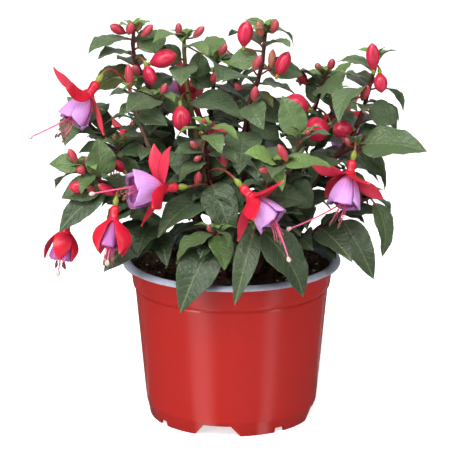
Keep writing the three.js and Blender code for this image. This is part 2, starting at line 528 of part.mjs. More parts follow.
/**
 * Places a leaf on its stem, bent clear of what is there; returns its solid, or nothing where there
 * is no room.
 */
function growLeaf(node, base, tip, width, face, arch) {
  for (const [turn, lift] of BENDS) {
    const frame = bent(base, tip, face, turn, lift);
    const samples = bladeSamples(frame, width, arch);
    const centre = bladePoint(frame, 0.5, 0, width, arch);
    const size = frame.chord.length() * 0.5 + width + 8;
    const near = taken.filter((t) => t.point.distanceToSquared(centre) < (size + t.reach) ** 2
      && (t.node !== node || t.point.distanceTo(base) > OWN_NODE_START));
    const room = (t) => (t.reach + SAMPLE_REACH) * (t.node === node ? OWN_NODE_SHARE : 1);
    const clear = samples.every((p) => clearOfPot(p) && near.every((t) => p.distanceTo(t.point) > room(t)));
    if (!clear) continue;
    samples.forEach((p) => keepClear(p, SAMPLE_REACH, node));
    return bladeSolid(frame, width, arch);
  }
  return null;
}

/** A bud: a short tube that swells to a pointed belly, from its foot to its tip. */
function budSolid(foot, tip, radius) {
  const axis = tip.clone().sub(foot).normalize();
  return skin([[0, 0.33], [0.56, 1], [0.83, 0.66]].map(([t, r]) => [mix(foot, tip, t), axis, r * radius]),
    5, tip);
}

/** A small bud with its pedicel, grown in one piece from the stem. */
function budOnStem(start, foot, tip, radius) {
  const axis = tip.clone().sub(foot).normalize();
  const lean = foot.clone().sub(start).normalize();
  return skin([[start, lean, 0.6], [foot, axis, 0.6], [mix(foot, tip, 0.55), axis, radius]], 4, tip);
}

/** A pedicel from a stem to the foot of a bud or ovary, arriving along the axis. */
function pedicelCentres(start, foot, axis, bow) {
  const before = foot.clone().addScaledVector(axis, -bow);
  const middle = mix(start, before, 0.5).add(new THREE.Vector3(0, 0, bow * 0.5));
  return new THREE.CubicBezierCurve3(start, middle, before, foot).getPoints(3);
}

// Blooms first, then stems and buds: their places are fixed. The leaves fit in between.
const grown = {};
const growOn = (node, body) => (grown[node] ??= []).push(body);

/** A sepal's midline leaves the tube's mouth at one angle to the axis and curls evenly to another. */
function sepalPoint(q, startAngle, endAngle, length) {
  const turn = endAngle - startAngle;
  const angle = startAngle + turn * q;
  const k = length / turn;
  return { out: k * (Math.cos(startAngle) - Math.cos(angle)),
    on: k * (Math.sin(angle) - Math.sin(startAngle)), angle };
}

for (const bloom of BLOOMS) {
  const stem = STEMS[bloom.stem];
  const axis = vec(bloom.axis).normalize();
  const foot = vec(bloom.at);
  const [u, v] = squareTo(axis, new THREE.Vector3(0, 0, 1));
  const spot = (out, on, turn) => foot.clone().addScaledVector(axis, on)
    .addScaledVector(u, out * Math.cos(turn)).addScaledVector(v, out * Math.sin(turn));
  const outward = (turn) => u.clone().multiplyScalar(Math.cos(turn)).addScaledVector(v, Math.sin(turn));

  // Pedicel and ovary, part of the stem.
  const pedicel = pedicelCentres(rootOn(stem, bloom.from, foot), foot, axis, PEDICEL_BOW.bloom);
  growOn(stem.node, rod([...pedicel, spot(0, OVARY.middle, 0), spot(0, OVARY.top, 0)],
    [0.8, OVARY.pedicel, OVARY.pedicel, OVARY.neck, OVARY.belly, OVARY.end], STEM_SIDES));
  keepRodClear(pedicel, 1.2, stem.node);

  // Calyx: a tube that bellies out, and the four sepals that its mouth runs out into.
  const wide = bloom.open > WIDE_OPEN;
  const corner = (k) => radians(bloom.turn + 90 * Math.floor(k / 2) + (k % 2 ? SEPAL_FOOT : -SEPAL_FOOT));
  const tubeRing = (r, on) => Array.from({ length: 8 }, (_, k) => spot(r, on, corner(k)));
  const calyx = [spot(0, TUBE_START, 0), ...TUBE_RINGS.flatMap(([r, on]) => tubeRing(r, on)),
    ...tubeRing(TUBE_MOUTH, TUBE_END - 0.4), ...tubeRing(CALYX_FLOOR, TUBE_END), spot(0, TUBE_END - 0.5, 0)];
  const [mouthRing, floorRing, floorCentre] = [25, 33, 41];
  const wrap = [];
  for (let k = 0; k < 8; k++) {
    const next = (k + 1) % 8;
    wrap.push([0, 1 + next, 1 + k], [floorRing + k, floorRing + next, floorCentre]);
    for (const a of [1, 9, 17]) wrap.push([a + k, a + next, a + 8 + next], [a + k, a + 8 + next, a + 8 + k]);
    if (k % 2) {
      wrap.push([mouthRing + k, mouthRing + next, floorRing + next],
        [mouthRing + k, floorRing + next, floorRing + k]);
    }
  }
  bloom.reflex.forEach((reflex, k) => {
    const turn = radians(bloom.turn + 90 * k);
    const startAngle = radians(SEPAL_START_ANGLE);
    const endAngle = radians(wide ? reflex + 28 : reflex - 40);
    const side = outward(turn + Math.PI / 2);
    const row = (q, offset) => {
      const { out, on, angle } = sepalPoint(q, startAngle, endAngle,
        wide ? SEPAL_LENGTH.wide : SEPAL_LENGTH.shut);
      const normal = outward(turn).multiplyScalar(-Math.cos(angle)).addScaledVector(axis, Math.sin(angle));
      const middle = spot(CALYX_FLOOR + 0.3 + out, TUBE_END - 0.2 + on, turn).addScaledVector(normal, offset);
      const half = SEPAL_WIDTH * (wide ? 1 : 1.25) * Math.pow(Math.sin(Math.PI * (0.18 + 0.82 * q)), 0.9);
      return q === 1 ? [middle] : [-1, 0, 1].map((s) => middle.clone().addScaledVector(side, half * s)
        .addScaledVector(normal, s === 0 ? 0 : SEPAL_EDGE_RISE));
    };
    const first = calyx.length;
    for (const face of [-BLADE / 2, BLADE / 2]) calyx.push(...SEPAL_STATIONS.flatMap((q) => row(q, face)));
    calyx.push(...row(1, 0));
    const tip = first + 12;
    const strips = [[mouthRing + 2 * k, mouthRing + 2 * k + 1, first, first + 3, false],
      [floorRing + 2 * k, floorRing + 2 * k + 1, first + 6, first + 9, true]];
    for (const [l, r, low, high, inner] of strips) {
      const faces = [[l, r, low + 1], [l, low + 1, low], [r, low + 2, low + 1], [low, low + 1, high + 1],
        [low, high + 1, high], [low + 1, low + 2, high + 2], [low + 1, high + 2, high + 1],
          [high, high + 1, tip],
        [high + 1, high + 2, tip]];
      wrap.push(...(inner ? faces.map(([p, q, s]) => [s, q, p]) : faces));
    }
    const leftEdge = [[mouthRing + 2 * k, floorRing + 2 * k], [first, first + 6], [first + 3, first + 9]];
    const rightEdge = [[mouthRing + 2 * k + 1, floorRing + 2 * k + 1], [first + 2, first + 8],
      [first + 5, first + 11]];
    for (let i = 0; i < 2; i++) {
      const [[l, il], [ul, iul]] = [leftEdge[i], leftEdge[i + 1]];
      const [[r, ir], [ur, iur]] = [rightEdge[i], rightEdge[i + 1]];
      wrap.push([l, ul, iul], [l, iul, il], [ur, r, ir], [ur, ir, iur]);
    }
    wrap.push([first + 3, tip, first + 9], [tip, first + 5, first + 11]);
    for (let q = 0.1; q <= 1; q += 0.15) {
      for (const p of row(Math.min(q, 0.99), 0)) keepClear(p, SEPAL_REACH, `calyx_${bloom.name}`);
    }
  });
  place(`calyx_${bloom.name}`, solid(calyx, wrap), RED);
  keepRodClear([spot(0, 0, 0), spot(0, TUBE_END, 0)], 3.2, `calyx_${bloom.name}`);

  // Corolla: four petals rolled one over the next into a cup.
  const depth = 10.5 + 7 * bloom.open;
  const spread = 9 * bloom.open - 0.8;
  const cup = (share, inset, lip) => Array.from({ length: 12 }, (_, k) => {
    const across = (k % 3) / 2;
    const turn = radians(bloom.turn + 45 + 90 * Math.floor(k / 3) + (across - 0.5) * PETAL_SPAN);
    const flare = 2.2 + spread * Math.pow(Math.sin(Math.PI * 0.54 * share), 0.9);
    const layer = share * (across - 0.5) * PETAL_LAYER;
    const scallop = lip * PETAL_SCALLOP * (1 - Math.pow(2 * across - 1, 2));
    return spot(flare + layer - inset, COROLLA_START + share * depth + scallop, turn);
  });
  const outside = [cup(0, 0, 0), cup(0.35, 0, 0), cup(0.7, 0, 0), cup(1, 0, 1)];
  const inside = [cup(1, COROLLA_WALL, 1), cup(0.2, COROLLA_WALL, 0)];
  place(`corolla_${bloom.name}`, loft(spot(0, COROLLA_START, 0), [...outside, ...inside],
    spot(0, COROLLA_START + 0.14 * depth, 0)), MAUVE);
  keepRodClear([spot(0, COROLLA_START, 0), spot(0, COROLLA_START + depth + 3, 0)], spread + 4.2,
    `corolla_${bloom.name}`);

  // Stamens and style: threads that part from one short base, each in its own sector, and follow the
  // style's curve.
  const floor = COROLLA_START + 0.2 * depth + FIT_GAP;
  const mouth = COROLLA_START + depth;
  const tip = vec(bloom.style);
  const bowed = mix(spot(0, mouth, 0), tip, 0.5).addScaledVector(axis,
    0.06 * tip.distanceTo(spot(0, mouth, 0)));
  const curve = new THREE.QuadraticBezierCurve3(spot(0, mouth, 0), bowed, tip);
  const styleLength = curve.getLength();
  const sectors = STAMENS + 1;
  const sector = (k) => (2 * Math.PI * k) / sectors;
  const ends = (on) => Array.from({ length: sectors }, (_, k) => spot(STAMEN_BASE_RADIUS, on, sector(k)));
  const stand = [spot(0, floor, 0), ...ends(floor), ...ends(floor + 1), spot(0, floor + 1, 0)];
  const top = 1 + sectors;
  const centre = 1 + 2 * sectors;
  const threads = [];
  for (let k = 0; k < sectors; k++) {
    const next = (k + 1) % sectors;
    threads.push([0, 1 + next, 1 + k], [1 + k, 1 + next, top + next], [1 + k, top + next, top + k]);
    const style = k === STAMENS;
    const away = outward(sector(k + 0.5));
    const stamenLength = (0.5 + 0.5 * bloom.open) * (9 + 1.7 * ((3 * k) % 4));
    const reach = style ? 1 : Math.min(0.8, stamenLength / styleLength);
    const stops = style ? STYLE_STOPS : [[0, 0.42], [0.86 * reach, 0.7], [reach, 0.5]];
    let ring = [top + k, top + next, centre];
    for (const [t, r] of stops) {
      const offset = style ? STAMEN_SPREAD * (1 - t) : STAMEN_SPREAD + t / reach;
      const middle = curve.getPoint(t).addScaledVector(away, offset);
      const [u1, v1] = squareTo(curve.getTangent(t), away);
      const made = [-60, 60, 180].map((a) => middle.clone().addScaledVector(u1, r * Math.cos(radians(a)))
        .addScaledVector(v1, r * Math.sin(radians(a))));
      const now = made.map((_, j) => stand.length + j);
      stand.push(...made);
      for (let j = 0; j < 3; j++) {
        const n = (j + 1) % 3;
        threads.push([ring[j], ring[n], now[n]], [ring[j], now[n], now[j]]);
      }
      ring = now;
    }
    threads.push(ring);
  }
  place(`stamens_${bloom.name}`, solid(stand, threads), PINK);
  keepRodClear(curve.getPoints(4), 1.6, `stamens_${bloom.name}`);
}

// Stems, rooted in the soil or sunk in the stem they branch from.
for (const stem of Object.values(STEMS)) {
  const centres = stem.path.map(vec);
  const radii = centres.map((_, i) => THREE.MathUtils.lerp(stem.r[0], stem.r[1], i / (centres.length - 1)));
  growOn(stem.node, rod(centres, radii, STEM_SIDES));
  keepRodClear(centres, stem.r[0], stem.node);
}

// Buds: the small ones grow in one body with their stem, the large ones sit on their pedicels.
for (const [stem, at, foot, tip, radius] of BUDS) {
  const { node } = STEMS[stem];
  growOn(node, budOnStem(rootOn(STEMS[stem], at, vec(foot)), vec(foot), vec(tip), radius));
  keepRodClear([vec(foot), vec(tip)], radius * 0.8, node);
}
for (const [name, [stem, at, foot, tip, radius]] of Object.entries(LARGE_BUDS)) {
  const { node } = STEMS[stem];
  const axis = vec(tip).sub(vec(foot)).normalize();
  const pedicel = pedicelCentres(rootOn(STEMS[stem], at, vec(foot)), vec(foot), axis, PEDICEL_BOW.bud);
  growOn(node, rod([pedicel[0], pedicel[2], pedicel[3]], [0.7, 0.7, 1.2], 4, axis));
  place(name, budSolid(vec(foot).addScaledVector(axis, FIT_GAP), vec(tip), radius), RED);
  keepRodClear(pedicel, 1, node);
  keepRodClear([vec(foot), mix(vec(foot), vec(tip), 0.7), vec(tip)], radius * 0.9, name);
}

// Leaves set by hand, then the crossed pairs.
for (const [name, rows] of Object.entries(LEAVES)) {
  const { node } = STEMS[name];
  for (const [at, tip, width, face = UP, arch = BLADE_ARCH] of rows) {
    const leaf = growLeaf(node, rootOn(STEMS[name], at, vec(tip)), vec(tip), width, vec(face), arch);
    if (leaf) growOn(node, leaf);
  }
}
for (const [name, first, last, pairs, low, high, heading] of PAIRS) {
  const { node, path } = STEMS[name];
  for (let k = 0; k < pairs; k++) {
    const share = pairs > 1 ? k / (pairs - 1) : 0;
    const at = THREE.MathUtils.lerp(first, last, share);
    const base = along(path, at);
    const length = THREE.MathUtils.lerp(low, high, share);
    for (const half of [0, 180]) {
      const a = radians(heading + 90 * k + half + 14 * Math.sin(7 * k + heading));
      const rise = radians(10 + 26 * share - 22 * (1 - share) * Math.cos(3 * k + half));
      const way = new THREE.Vector3(Math.cos(a) * Math.cos(rise), Math.sin(a) * Math.cos(rise),
        Math.sin(rise));
      const tip = base.clone().addScaledVector(way, length);
      const leaf = growLeaf(node, rootOn(STEMS[name], at, tip), tip, length * 0.3, vec(UP),
        BLADE_ARCH + 0.05);
      if (leaf) growOn(node, leaf);
    }
  }
}
for (const [node, bodies] of Object.entries(grown)) place(node, join(bodies), GREEN);

// Soil: a plug that follows the inside of the pot, its top crumbled up and down, with a hole for each stem.
const soilHeight = (x, y) => SOIL_TOP + 1.1 * Math.sin(x * 0.21 + 1) * Math.cos(y * 0.17)
  + 0.9 * Math.sin(x * 0.43 - y * 0.39);
const soilRing = (r, z) => Array.from({ length: SOIL_SIDES }, (_, k) => {
  const a = (2 * Math.PI * k) / SOIL_SIDES;
  const [x, y] = [r * Math.cos(a), r * Math.sin(a)];
  return new THREE.Vector3(x, y, z ?? soilHeight(x, y));
});
const SOIL_BOTTOM = FOOT_HEIGHT + WALL + FIT_GAP;
const soilRadius = (z) => {
  const share = (z - BODY_BOTTOM) / (BODY_TOP - BODY_BOTTOM);
  return THREE.MathUtils.lerp(BODY_RADIUS_LOW, BODY_RADIUS_HIGH, share) - WALL - SOIL_CLEARANCE;
};
let soil = loft(new THREE.Vector3(0, 0, SOIL_BOTTOM), [soilRing(soilRadius(SOIL_BOTTOM), SOIL_BOTTOM),
  soilRing(soilRadius(BODY_TOP), BODY_TOP), soilRing(soilRadius(BODY_TOP) + 0.3, null), soilRing(38, null),
    soilRing(19, null)],
new THREE.Vector3(0, 0, soilHeight(0, 0)));
for (const stem of Object.values(STEMS)) {
  if (stem.path[0][2] !== STEM_SEAT) continue;
  const [foot, above] = [vec(stem.path[0]), along(stem.path, 0.45)];
  const down = foot.clone().sub(above).normalize();
  const radius = stem.r[0] + STEM_HOLE_GAP;
  const hole = rod([foot.clone().addScaledVector(down, FIT_GAP + 0.1), above], [radius, radius], STEM_SIDES);
  soil = soil.subtract(hole);
}
place('soil', soil, PEAT);

// Pot: foot ring, tapered body, crease, collar and rolled lip, all one moulded wall, with feet and drain
// holes cut.
const profile = [[FOOT_RADIUS - WALL - 0.2, FOOT_HEIGHT], [FOOT_RADIUS - WALL, 0], [FOOT_RADIUS, 0],
  [BODY_RADIUS_LOW, BODY_BOTTOM], [BODY_RADIUS_HIGH, BODY_TOP], [COLLAR_RADIUS_LOW, COLLAR_BOTTOM],
  [COLLAR_RADIUS_HIGH, LIP_UNDERSIDE], [LIP_RADIUS, LIP_UNDERSIDE + 0.3], [LIP_RADIUS, LIP_UNDERSIDE + 1.6],
  [LIP_RADIUS - 3, POT_HEIGHT], [COLLAR_RADIUS_HIGH - 0.4, POT_HEIGHT - 0.3],
    [COLLAR_RADIUS_LOW - WALL, COLLAR_BOTTOM],
  [BODY_RADIUS_HIGH - WALL, BODY_TOP], [BODY_RADIUS_LOW - WALL - 0.6, FOOT_HEIGHT + WALL]];
const potRing = ([r, z]) => Array.from({ length: POT_SIDES }, (_, k) => {
  const a = (2 * Math.PI * (k + 0.5)) / POT_SIDES;
  return new THREE.Vector3(r * Math.cos(a), r * Math.sin(a), z);
});
let pot = loft(new THREE.Vector3(0, 0, FOOT_HEIGHT), profile.map(potRing),
  new THREE.Vector3(0, 0, FOOT_HEIGHT + WALL));

/** A wedge that cuts a foot notch: wide at the bottom, narrower at the top, across the foot ring. */
function notch(azimuth, width, topWidth, height) {
  const a = radians(azimuth);
  const out = new THREE.Vector3(Math.sin(a), -Math.cos(a), 0);
  const side = new THREE.Vector3(Math.cos(a), Math.sin(a), 0);
  const corner = (r, s, z) => out.clone().multiplyScalar(r).addScaledVector(side, s).setZ(z);
  const points = [40, 54].flatMap((r) => [corner(r, -width / 2, -1), corner(r, width / 2, -1),
    corner(r, topWidth / 2, height), corner(r, -topWidth / 2, height)]);
  return solid(points, [[0, 2, 1], [0, 3, 2], [4, 5, 6], [4, 6, 7], [0, 1, 5], [0, 5, 4], [1, 2, 6],
    [1, 6, 5],
    [2, 3, 7], [2, 7, 6], [3, 0, 4], [3, 4, 7]]);
}
for (const azimuth of NOTCH_AZIMUTHS) pot = pot.subtract(notch(azimuth, NOTCH_WIDTH, NOTCH_TOP_WIDTH,
  NOTCH_HEIGHT));
for (const azimuth of SLOT_AZIMUTHS) pot = pot.subtract(notch(azimuth, SLOT_WIDTH, SLOT_WIDTH - 1,
  SLOT_HEIGHT));
for (let k = 0; k < 4; k++) {
  const a = radians(45 + 90 * k);
  const centre = new THREE.Vector3(DRAIN_RING * Math.cos(a), DRAIN_RING * Math.sin(a), 0);
  pot = pot.subtract(rod([centre.clone().setZ(5), centre.clone().setZ(11)], [DRAIN_RADIUS, DRAIN_RADIUS], 8));
}
place('pot', pot, POT_RED);

export default part;
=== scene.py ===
import bpy
import numpy as np
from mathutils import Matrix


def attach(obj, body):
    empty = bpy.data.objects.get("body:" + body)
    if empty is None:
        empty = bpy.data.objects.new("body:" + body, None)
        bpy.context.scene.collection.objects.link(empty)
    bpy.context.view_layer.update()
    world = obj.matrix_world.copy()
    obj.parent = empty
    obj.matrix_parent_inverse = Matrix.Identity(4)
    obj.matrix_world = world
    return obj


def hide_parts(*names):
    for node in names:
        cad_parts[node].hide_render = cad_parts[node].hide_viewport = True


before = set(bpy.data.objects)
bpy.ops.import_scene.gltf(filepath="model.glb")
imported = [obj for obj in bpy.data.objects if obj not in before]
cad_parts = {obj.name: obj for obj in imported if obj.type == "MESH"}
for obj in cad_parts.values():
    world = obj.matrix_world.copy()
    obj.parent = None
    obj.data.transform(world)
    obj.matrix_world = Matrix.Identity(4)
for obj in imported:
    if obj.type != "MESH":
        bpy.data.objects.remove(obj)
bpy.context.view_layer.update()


# The pot
# A thin moulded grower pot: glossy red outside, with a bluish grey layer inside and on top of its rolled lip.
# It stands on a castellated foot, and a crease and a step mark where the next pot in a stack would sit.
MM = 0.001
POT_COLUMNS = 132
NEAR_COLUMNS = 0.002
FOOT_RADIUS = 49.0
FOOT_STEP = 0.4
FOOT_ROUNDING = 0.15
FLOOR_UNDERSIDE = 7.3
FLOOR_INSET = 0.2
BODY_RADIUS_LOW = 51.0
BODY_BOTTOM = 8.6
POT_WALL = 1.3
# The cuts in the foot by azimuth: the width 1 mm below the table, the width at the top, and the height.
CUT_BELOW = 1.0
CUTS = {first + 90 * k: cut for first, cut in ((-10, (29, 16, 6.6)), (35, (7, 6, 3.0))) for k in range(4)}
DRAINS = 4
DRAIN_RADIUS = 5.0
DRAIN_RING = 33.0
DRILL_DEPTH = 6.0
DRILL_HEIGHT = 8.0
# Outer wall, step, collar and lip, then the lining down to the floor: (radius, height).
OUTER_PROFILE = [
    (50.6, 8.0), (51.0, 8.6), (51.15, 9.6), (51.8, 16), (52.8, 27), (53.8, 38), (54.8, 49), (55.8, 60),
    (56.7, 70), (57.45, 77.6), (57.5, 78.5), (57.1, 79.1), (57.15, 79.6), (58.3, 80.2), (58.75, 80.8),
    (59.1, 83), (59.9, 90), (60.2, 92.6), (60.8, 93.1), (64.0, 93.2), (64.8, 93.5), (65.0, 94.1),
]
LINING_PROFILE = [
    (64.95, 94.7), (64.3, 95.5), (62.6, 96.3), (61.6, 96.5), (60.6, 96.4), (59.9, 95.7), (59.2, 92.5),
    (58.5, 86), (57.5, 80.9), (56.3, 79.2), (56.0, 77), (53.2, 46), (50.3, 14), (49.6, 9.4), (48.6, 8.6),
]
POT_RED = (0.42, 0.012, 0.007, 1)
POT_LINING = (0.38, 0.41, 0.51, 1)


def skin_faces(rows, ring):
    """Faces of a closed skin: a start point, rows of ring points each, and an end point."""
    k = np.arange(ring)
    after = (k + 1) % ring
    row = np.arange(rows - 1)[:, None] * ring + 1
    quads = np.stack([row + k, row + after, row + after + ring, row + k + ring], -1).reshape(-1, 4)
    last = 1 + (rows - 1) * ring
    start = np.stack([0 * k, 1 + after, 1 + k], -1)
    end = np.stack([last + k, last + after, 0 * k + 1 + rows * ring], -1)
    return quads, np.concatenate([start, end])


def skins(starts, rings, ends, grown, look, finish):
    """Closed skins of one kind, each through rings[skin, row, around], from its start point to its end point.
    At each ring point grown holds (along, across, seed), and look holds four shares that the finish reads,
    on a leaf its tone, its youth, whether it is the underside, and its painted shade, darker low in the
    plant."""
    count, rows, ring = rings.shape[:3]
    quads, tips = skin_faces(rows, ring)
    step = (np.arange(count) * (rows * ring + 2))[:, None, None]

    def closed(first, middle, last):
        return np.concatenate([first[:, None], middle.reshape(count, rows * ring, -1), last[:, None]], 1)

    def spread(values):
        values = np.broadcast_to(values, rings.shape[:3] + values.shape[-1:])
        return closed(values[:, 0, 0], values, values[:, -1, 0])

    return {"points": closed(starts, rings, ends).reshape(-1, 3), "quads": (quads + step).reshape(-1, 4),
            "triangles": (tips + step).reshape(-1, 3), "finish": finish,
            "grown": spread(grown).reshape(-1, 3), "look": spread(look).reshape(-1, 4)}


def make_piece(name, parts, finishes, stands_for=(), sharp=None):
    """One piece from its parts, with its finishes, which rides on the plant's only body."""
    mesh = bpy.data.meshes.new(name)
    counts = np.cumsum([0] + [len(p["points"]) for p in parts])
    points = np.concatenate([p["points"] for p in parts]) * MM
    faces = [f + shift for p, shift in zip(parts, counts) for f in (p["quads"], p["triangles"])]
    sizes = np.concatenate([np.full(len(f), f.shape[1]) for f in faces])
    worn = [np.broadcast_to(p["finish"], len(p["quads"]) + len(p["triangles"])) for p in parts]
    mesh.vertices.add(len(points))
    mesh.vertices.foreach_set("co", points.ravel())
    mesh.loops.add(int(sizes.sum()))
    mesh.loops.foreach_set("vertex_index", np.concatenate([f.ravel() for f in faces]).astype(np.int32))
    mesh.polygons.add(len(sizes))
    mesh.polygons.foreach_set("loop_start", (np.cumsum(sizes) - sizes).astype(np.int32))
    mesh.polygons.foreach_set("material_index", np.concatenate(worn).astype(np.int32))
    mesh.polygons.foreach_set("use_smooth", np.ones(len(sizes), bool))
    mesh.update(calc_edges=True)
    grown = mesh.attributes.new("grown", "FLOAT_VECTOR", "POINT")
    grown.data.foreach_set("vector", np.concatenate([p["grown"] for p in parts]).ravel())
    look = mesh.attributes.new("look", "FLOAT_COLOR", "POINT")
    look.data.foreach_set("color", np.concatenate([p["look"] for p in parts]).ravel())
    if sharp is not None:
        mesh.set_sharp_from_angle(angle=np.radians(sharp))
    for material in finishes:
        mesh.materials.append(material)
    piece = bpy.data.objects.new(name, mesh)
    bpy.context.scene.collection.objects.link(piece)
    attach(piece, "root")
    if stands_for:
        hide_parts(*stands_for)
    return piece


def add(tree, kind, inputs=None, **settings):
    """Puts a node into a tree with its settings, and a value or another node's socket in each input named."""
    made = tree.nodes.new(kind)
    for key, value in settings.items():
        setattr(made, key, value)
    for key, value in (inputs or {}).items():
        if isinstance(value, bpy.types.NodeSocket):
            tree.links.new(value, made.inputs[key])
        else:
            made.inputs[key].default_value = value
    return made


def reckoned(tree, operation, *values, **settings):
    """The result of a math node for values or sockets."""
    return add(tree, "ShaderNodeMath", dict(enumerate(values)), operation=operation, **settings).outputs[0]


def scaled(tree, value, by):
    """A value times another."""
    return reckoned(tree, "MULTIPLY", value, by)


def new_finish(name, **fixed):
    """A material whose Principled shader has these fixed values; returns its tree and that shader."""
    material = bpy.data.materials.new(name)
    material.use_nodes = True
    shader = material.node_tree.nodes["Principled BSDF"]
    for key, value in fixed.items():
        shader.inputs[key.replace("_", " ")].default_value = value
    return material, material.node_tree, shader


def new_group(name, inputs, outputs):
    """An empty shader group with named number sockets; returns its tree, its input node and output node."""
    tree = bpy.data.node_groups.new(name, "ShaderNodeTree")
    for label, value in inputs.items():
        tree.interface.new_socket(label, in_out="INPUT", socket_type="NodeSocketFloat").default_value = value
    for label in outputs:
        tree.interface.new_socket(label, in_out="OUTPUT", socket_type="NodeSocketFloat")
    return tree, tree.nodes.new("NodeGroupInput"), tree.nodes.new("NodeGroupOutput")


# Mottling: a cloudy mask from 0 to 1 and a finer height, for plastic, peat, bark and blades alike.
mottle, given, out = new_group("mottling", {"Scale": 200.0, "Contrast": 2.0}, ["Mask", "Height"])
coords = add(mottle, "ShaderNodeTexCoord")
clouds = add(mottle, "ShaderNodeTexNoise", {
    "Vector": coords.outputs["Object"], "Scale": given.outputs["Scale"], "Detail": 3.0, "Roughness": 0.55})
finer = scaled(mottle, given.outputs["Scale"], 5.0)
grit = add(mottle, "ShaderNodeTexNoise", {"Vector": coords.outputs["Object"], "Scale": finer, "Detail": 4.0})
centred = reckoned(mottle, "SUBTRACT", clouds.outputs["Fac"], 0.5)
raised = reckoned(mottle, "MULTIPLY_ADD", centred, given.outputs["Contrast"], 0.5, use_clamp=True)
mottle.links.new(raised, out.inputs["Mask"])
mottle.links.new(grit.outputs["Fac"], out.inputs["Height"])


def mottled(tree, scale, contrast):
    """The mottling group placed in a material with its own size of cloud and contrast."""
    made = add(tree, "ShaderNodeGroup", node_tree=mottle)
    made.inputs["Scale"].default_value = scale
    made.inputs["Contrast"].default_value = contrast
    return made


def blended(tree, share, first, second):
    """The second colour over the first, by a share; either may be a colour or a socket."""
    made = add(tree, "ShaderNodeMix", data_type="RGBA")
    for socket, value in ((made.inputs[0], share), (made.inputs[6], first), (made.inputs[7], second)):
        if isinstance(value, bpy.types.NodeSocket):
            tree.links.new(value, socket)
        else:
            socket.default_value = value
    return made.outputs[2]


def ranged(tree, value, low, high, to_low=0.0, to_high=1.0, shape="SMOOTHSTEP"):
    """A value mapped from one range to another and kept inside it."""
    made = add(tree, "ShaderNodeMapRange", {"Value": value, "From Min": low, "From Max": high,
                                            "To Min": to_low, "To Max": to_high}, interpolation_type=shape)
    return made.outputs["Result"]


def bumped(tree, shader, height, strength, distance):
    """Feeds the shader a bump from a height."""
    made = add(tree, "ShaderNodeBump", {"Height": height, "Strength": strength, "Distance": distance})
    tree.links.new(made.outputs["Normal"], shader.inputs["Normal"])


def turned(azimuths, profile):
    """The points (r sin a, -r cos a, z) of a profile carried round the pot: its rows by its azimuths."""
    r, z = np.moveaxis(np.asarray(profile, float), -1, 0)
    return np.stack([r * np.sin(azimuths), -r * np.cos(azimuths), z + 0 * azimuths], -1)


# The foot's lower edge rises where it is cut, and each cut has columns of its own at its corners.
def cut_side(wide, narrow, height):
    """Half the width of a cut at the table, and how much it narrows on each side up to its top."""
    lean = (wide - narrow) / 2 / (height + CUT_BELOW)
    return wide / 2 - lean * CUT_BELOW, lean * height


corners = []
for middle, cut in CUTS.items():
    low, lean = cut_side(*cut)
    beside = np.arcsin(np.array([-low, lean - low, low - lean, low]) / FOOT_RADIUS)
    corners.append((np.radians(middle) + beside) % (2 * np.pi))
around = np.sort(np.concatenate([np.linspace(0, 2 * np.pi, POT_COLUMNS, endpoint=False), *corners]))
around = around[np.concatenate([[True], np.diff(around) > NEAR_COLUMNS])]
foot_edge = np.zeros_like(around)
for middle, (wide, narrow, height) in CUTS.items():
    low, lean = cut_side(wide, narrow, height)
    aside = np.abs((around - np.radians(middle) + np.pi) % (2 * np.pi) - np.pi)
    aside = np.where(aside < 1, FOOT_RADIUS * np.sin(np.minimum(aside, 1)), np.inf)
    foot_edge = np.maximum(foot_edge, np.clip((low - aside) / lean * height, 0, height))
foot_slope = (BODY_RADIUS_LOW - FOOT_RADIUS - FOOT_STEP) * (foot_edge / BODY_BOTTOM)
even = 0 * around
floor_edge = np.stack([FOOT_RADIUS - POT_WALL - FLOOR_INSET + even, FLOOR_UNDERSIDE + even], -1)
inner_edge = np.stack([FOOT_RADIUS - POT_WALL + even, foot_edge], -1)
outer_edge = np.stack([FOOT_RADIUS + foot_slope, foot_edge], -1)
across, up = FOOT_ROUNDING * np.eye(2)
foot_rows = [floor_edge, inner_edge + up, inner_edge + across, outer_edge - across, outer_edge + up]
rows = [turned(around, row) for row in foot_rows]
rows += [turned(around, np.tile(point, (len(around), 1))) for point in OUTER_PROFILE + LINING_PROFILE]
pot_part = skins(np.array([[0, 0, FLOOR_UNDERSIDE]]), np.stack(rows)[None], np.array([[0, 0, BODY_BOTTOM]]),
                 np.zeros(3), np.zeros(4), 0)
lined = np.arange(len(rows) - 1) >= len(foot_rows) + len(OUTER_PROFILE) - 1
pot_part["finish"] = np.repeat([*lined, False, True], len(around)).astype(int)

pot_red, tree, shader = new_finish("pot_red_plastic", Roughness=0.24, Specular_IOR_Level=0.5)
cloud = mottled(tree, 22, 1.6)
scuffs = mottled(tree, 900, 5.0)
tint = blended(tree, cloud.outputs["Mask"], POT_RED, (0.375, 0.013, 0.010, 1))
tree.links.new(tint, shader.inputs["Base Color"])
tree.links.new(ranged(tree, cloud.outputs["Mask"], 0, 1, 0.22, 0.28, "LINEAR"), shader.inputs["Roughness"])
bumped(tree, shader, scuffs.outputs["Height"], 0.04, 0.0004)
pot_lining, tree, shader = new_finish("pot_grey_lining", Roughness=0.42)
cloud = mottled(tree, 60, 3.0)
splashes = mottled(tree, 240, 9.0)
tint = blended(tree, cloud.outputs["Mask"], POT_LINING, (0.33, 0.36, 0.46, 1))
dusty = blended(tree, ranged(tree, splashes.outputs["Mask"], 0.9, 1, 0, 0.16), tint, (0.16, 0.13, 0.11, 1))
tree.links.new(dusty, shader.inputs["Base Color"])
bumped(tree, shader, splashes.outputs["Height"], 0.1, 0.0003)
pot = make_piece("grower_pot", [pot_part], [pot_red, pot_lining], ["pot"], sharp=38)
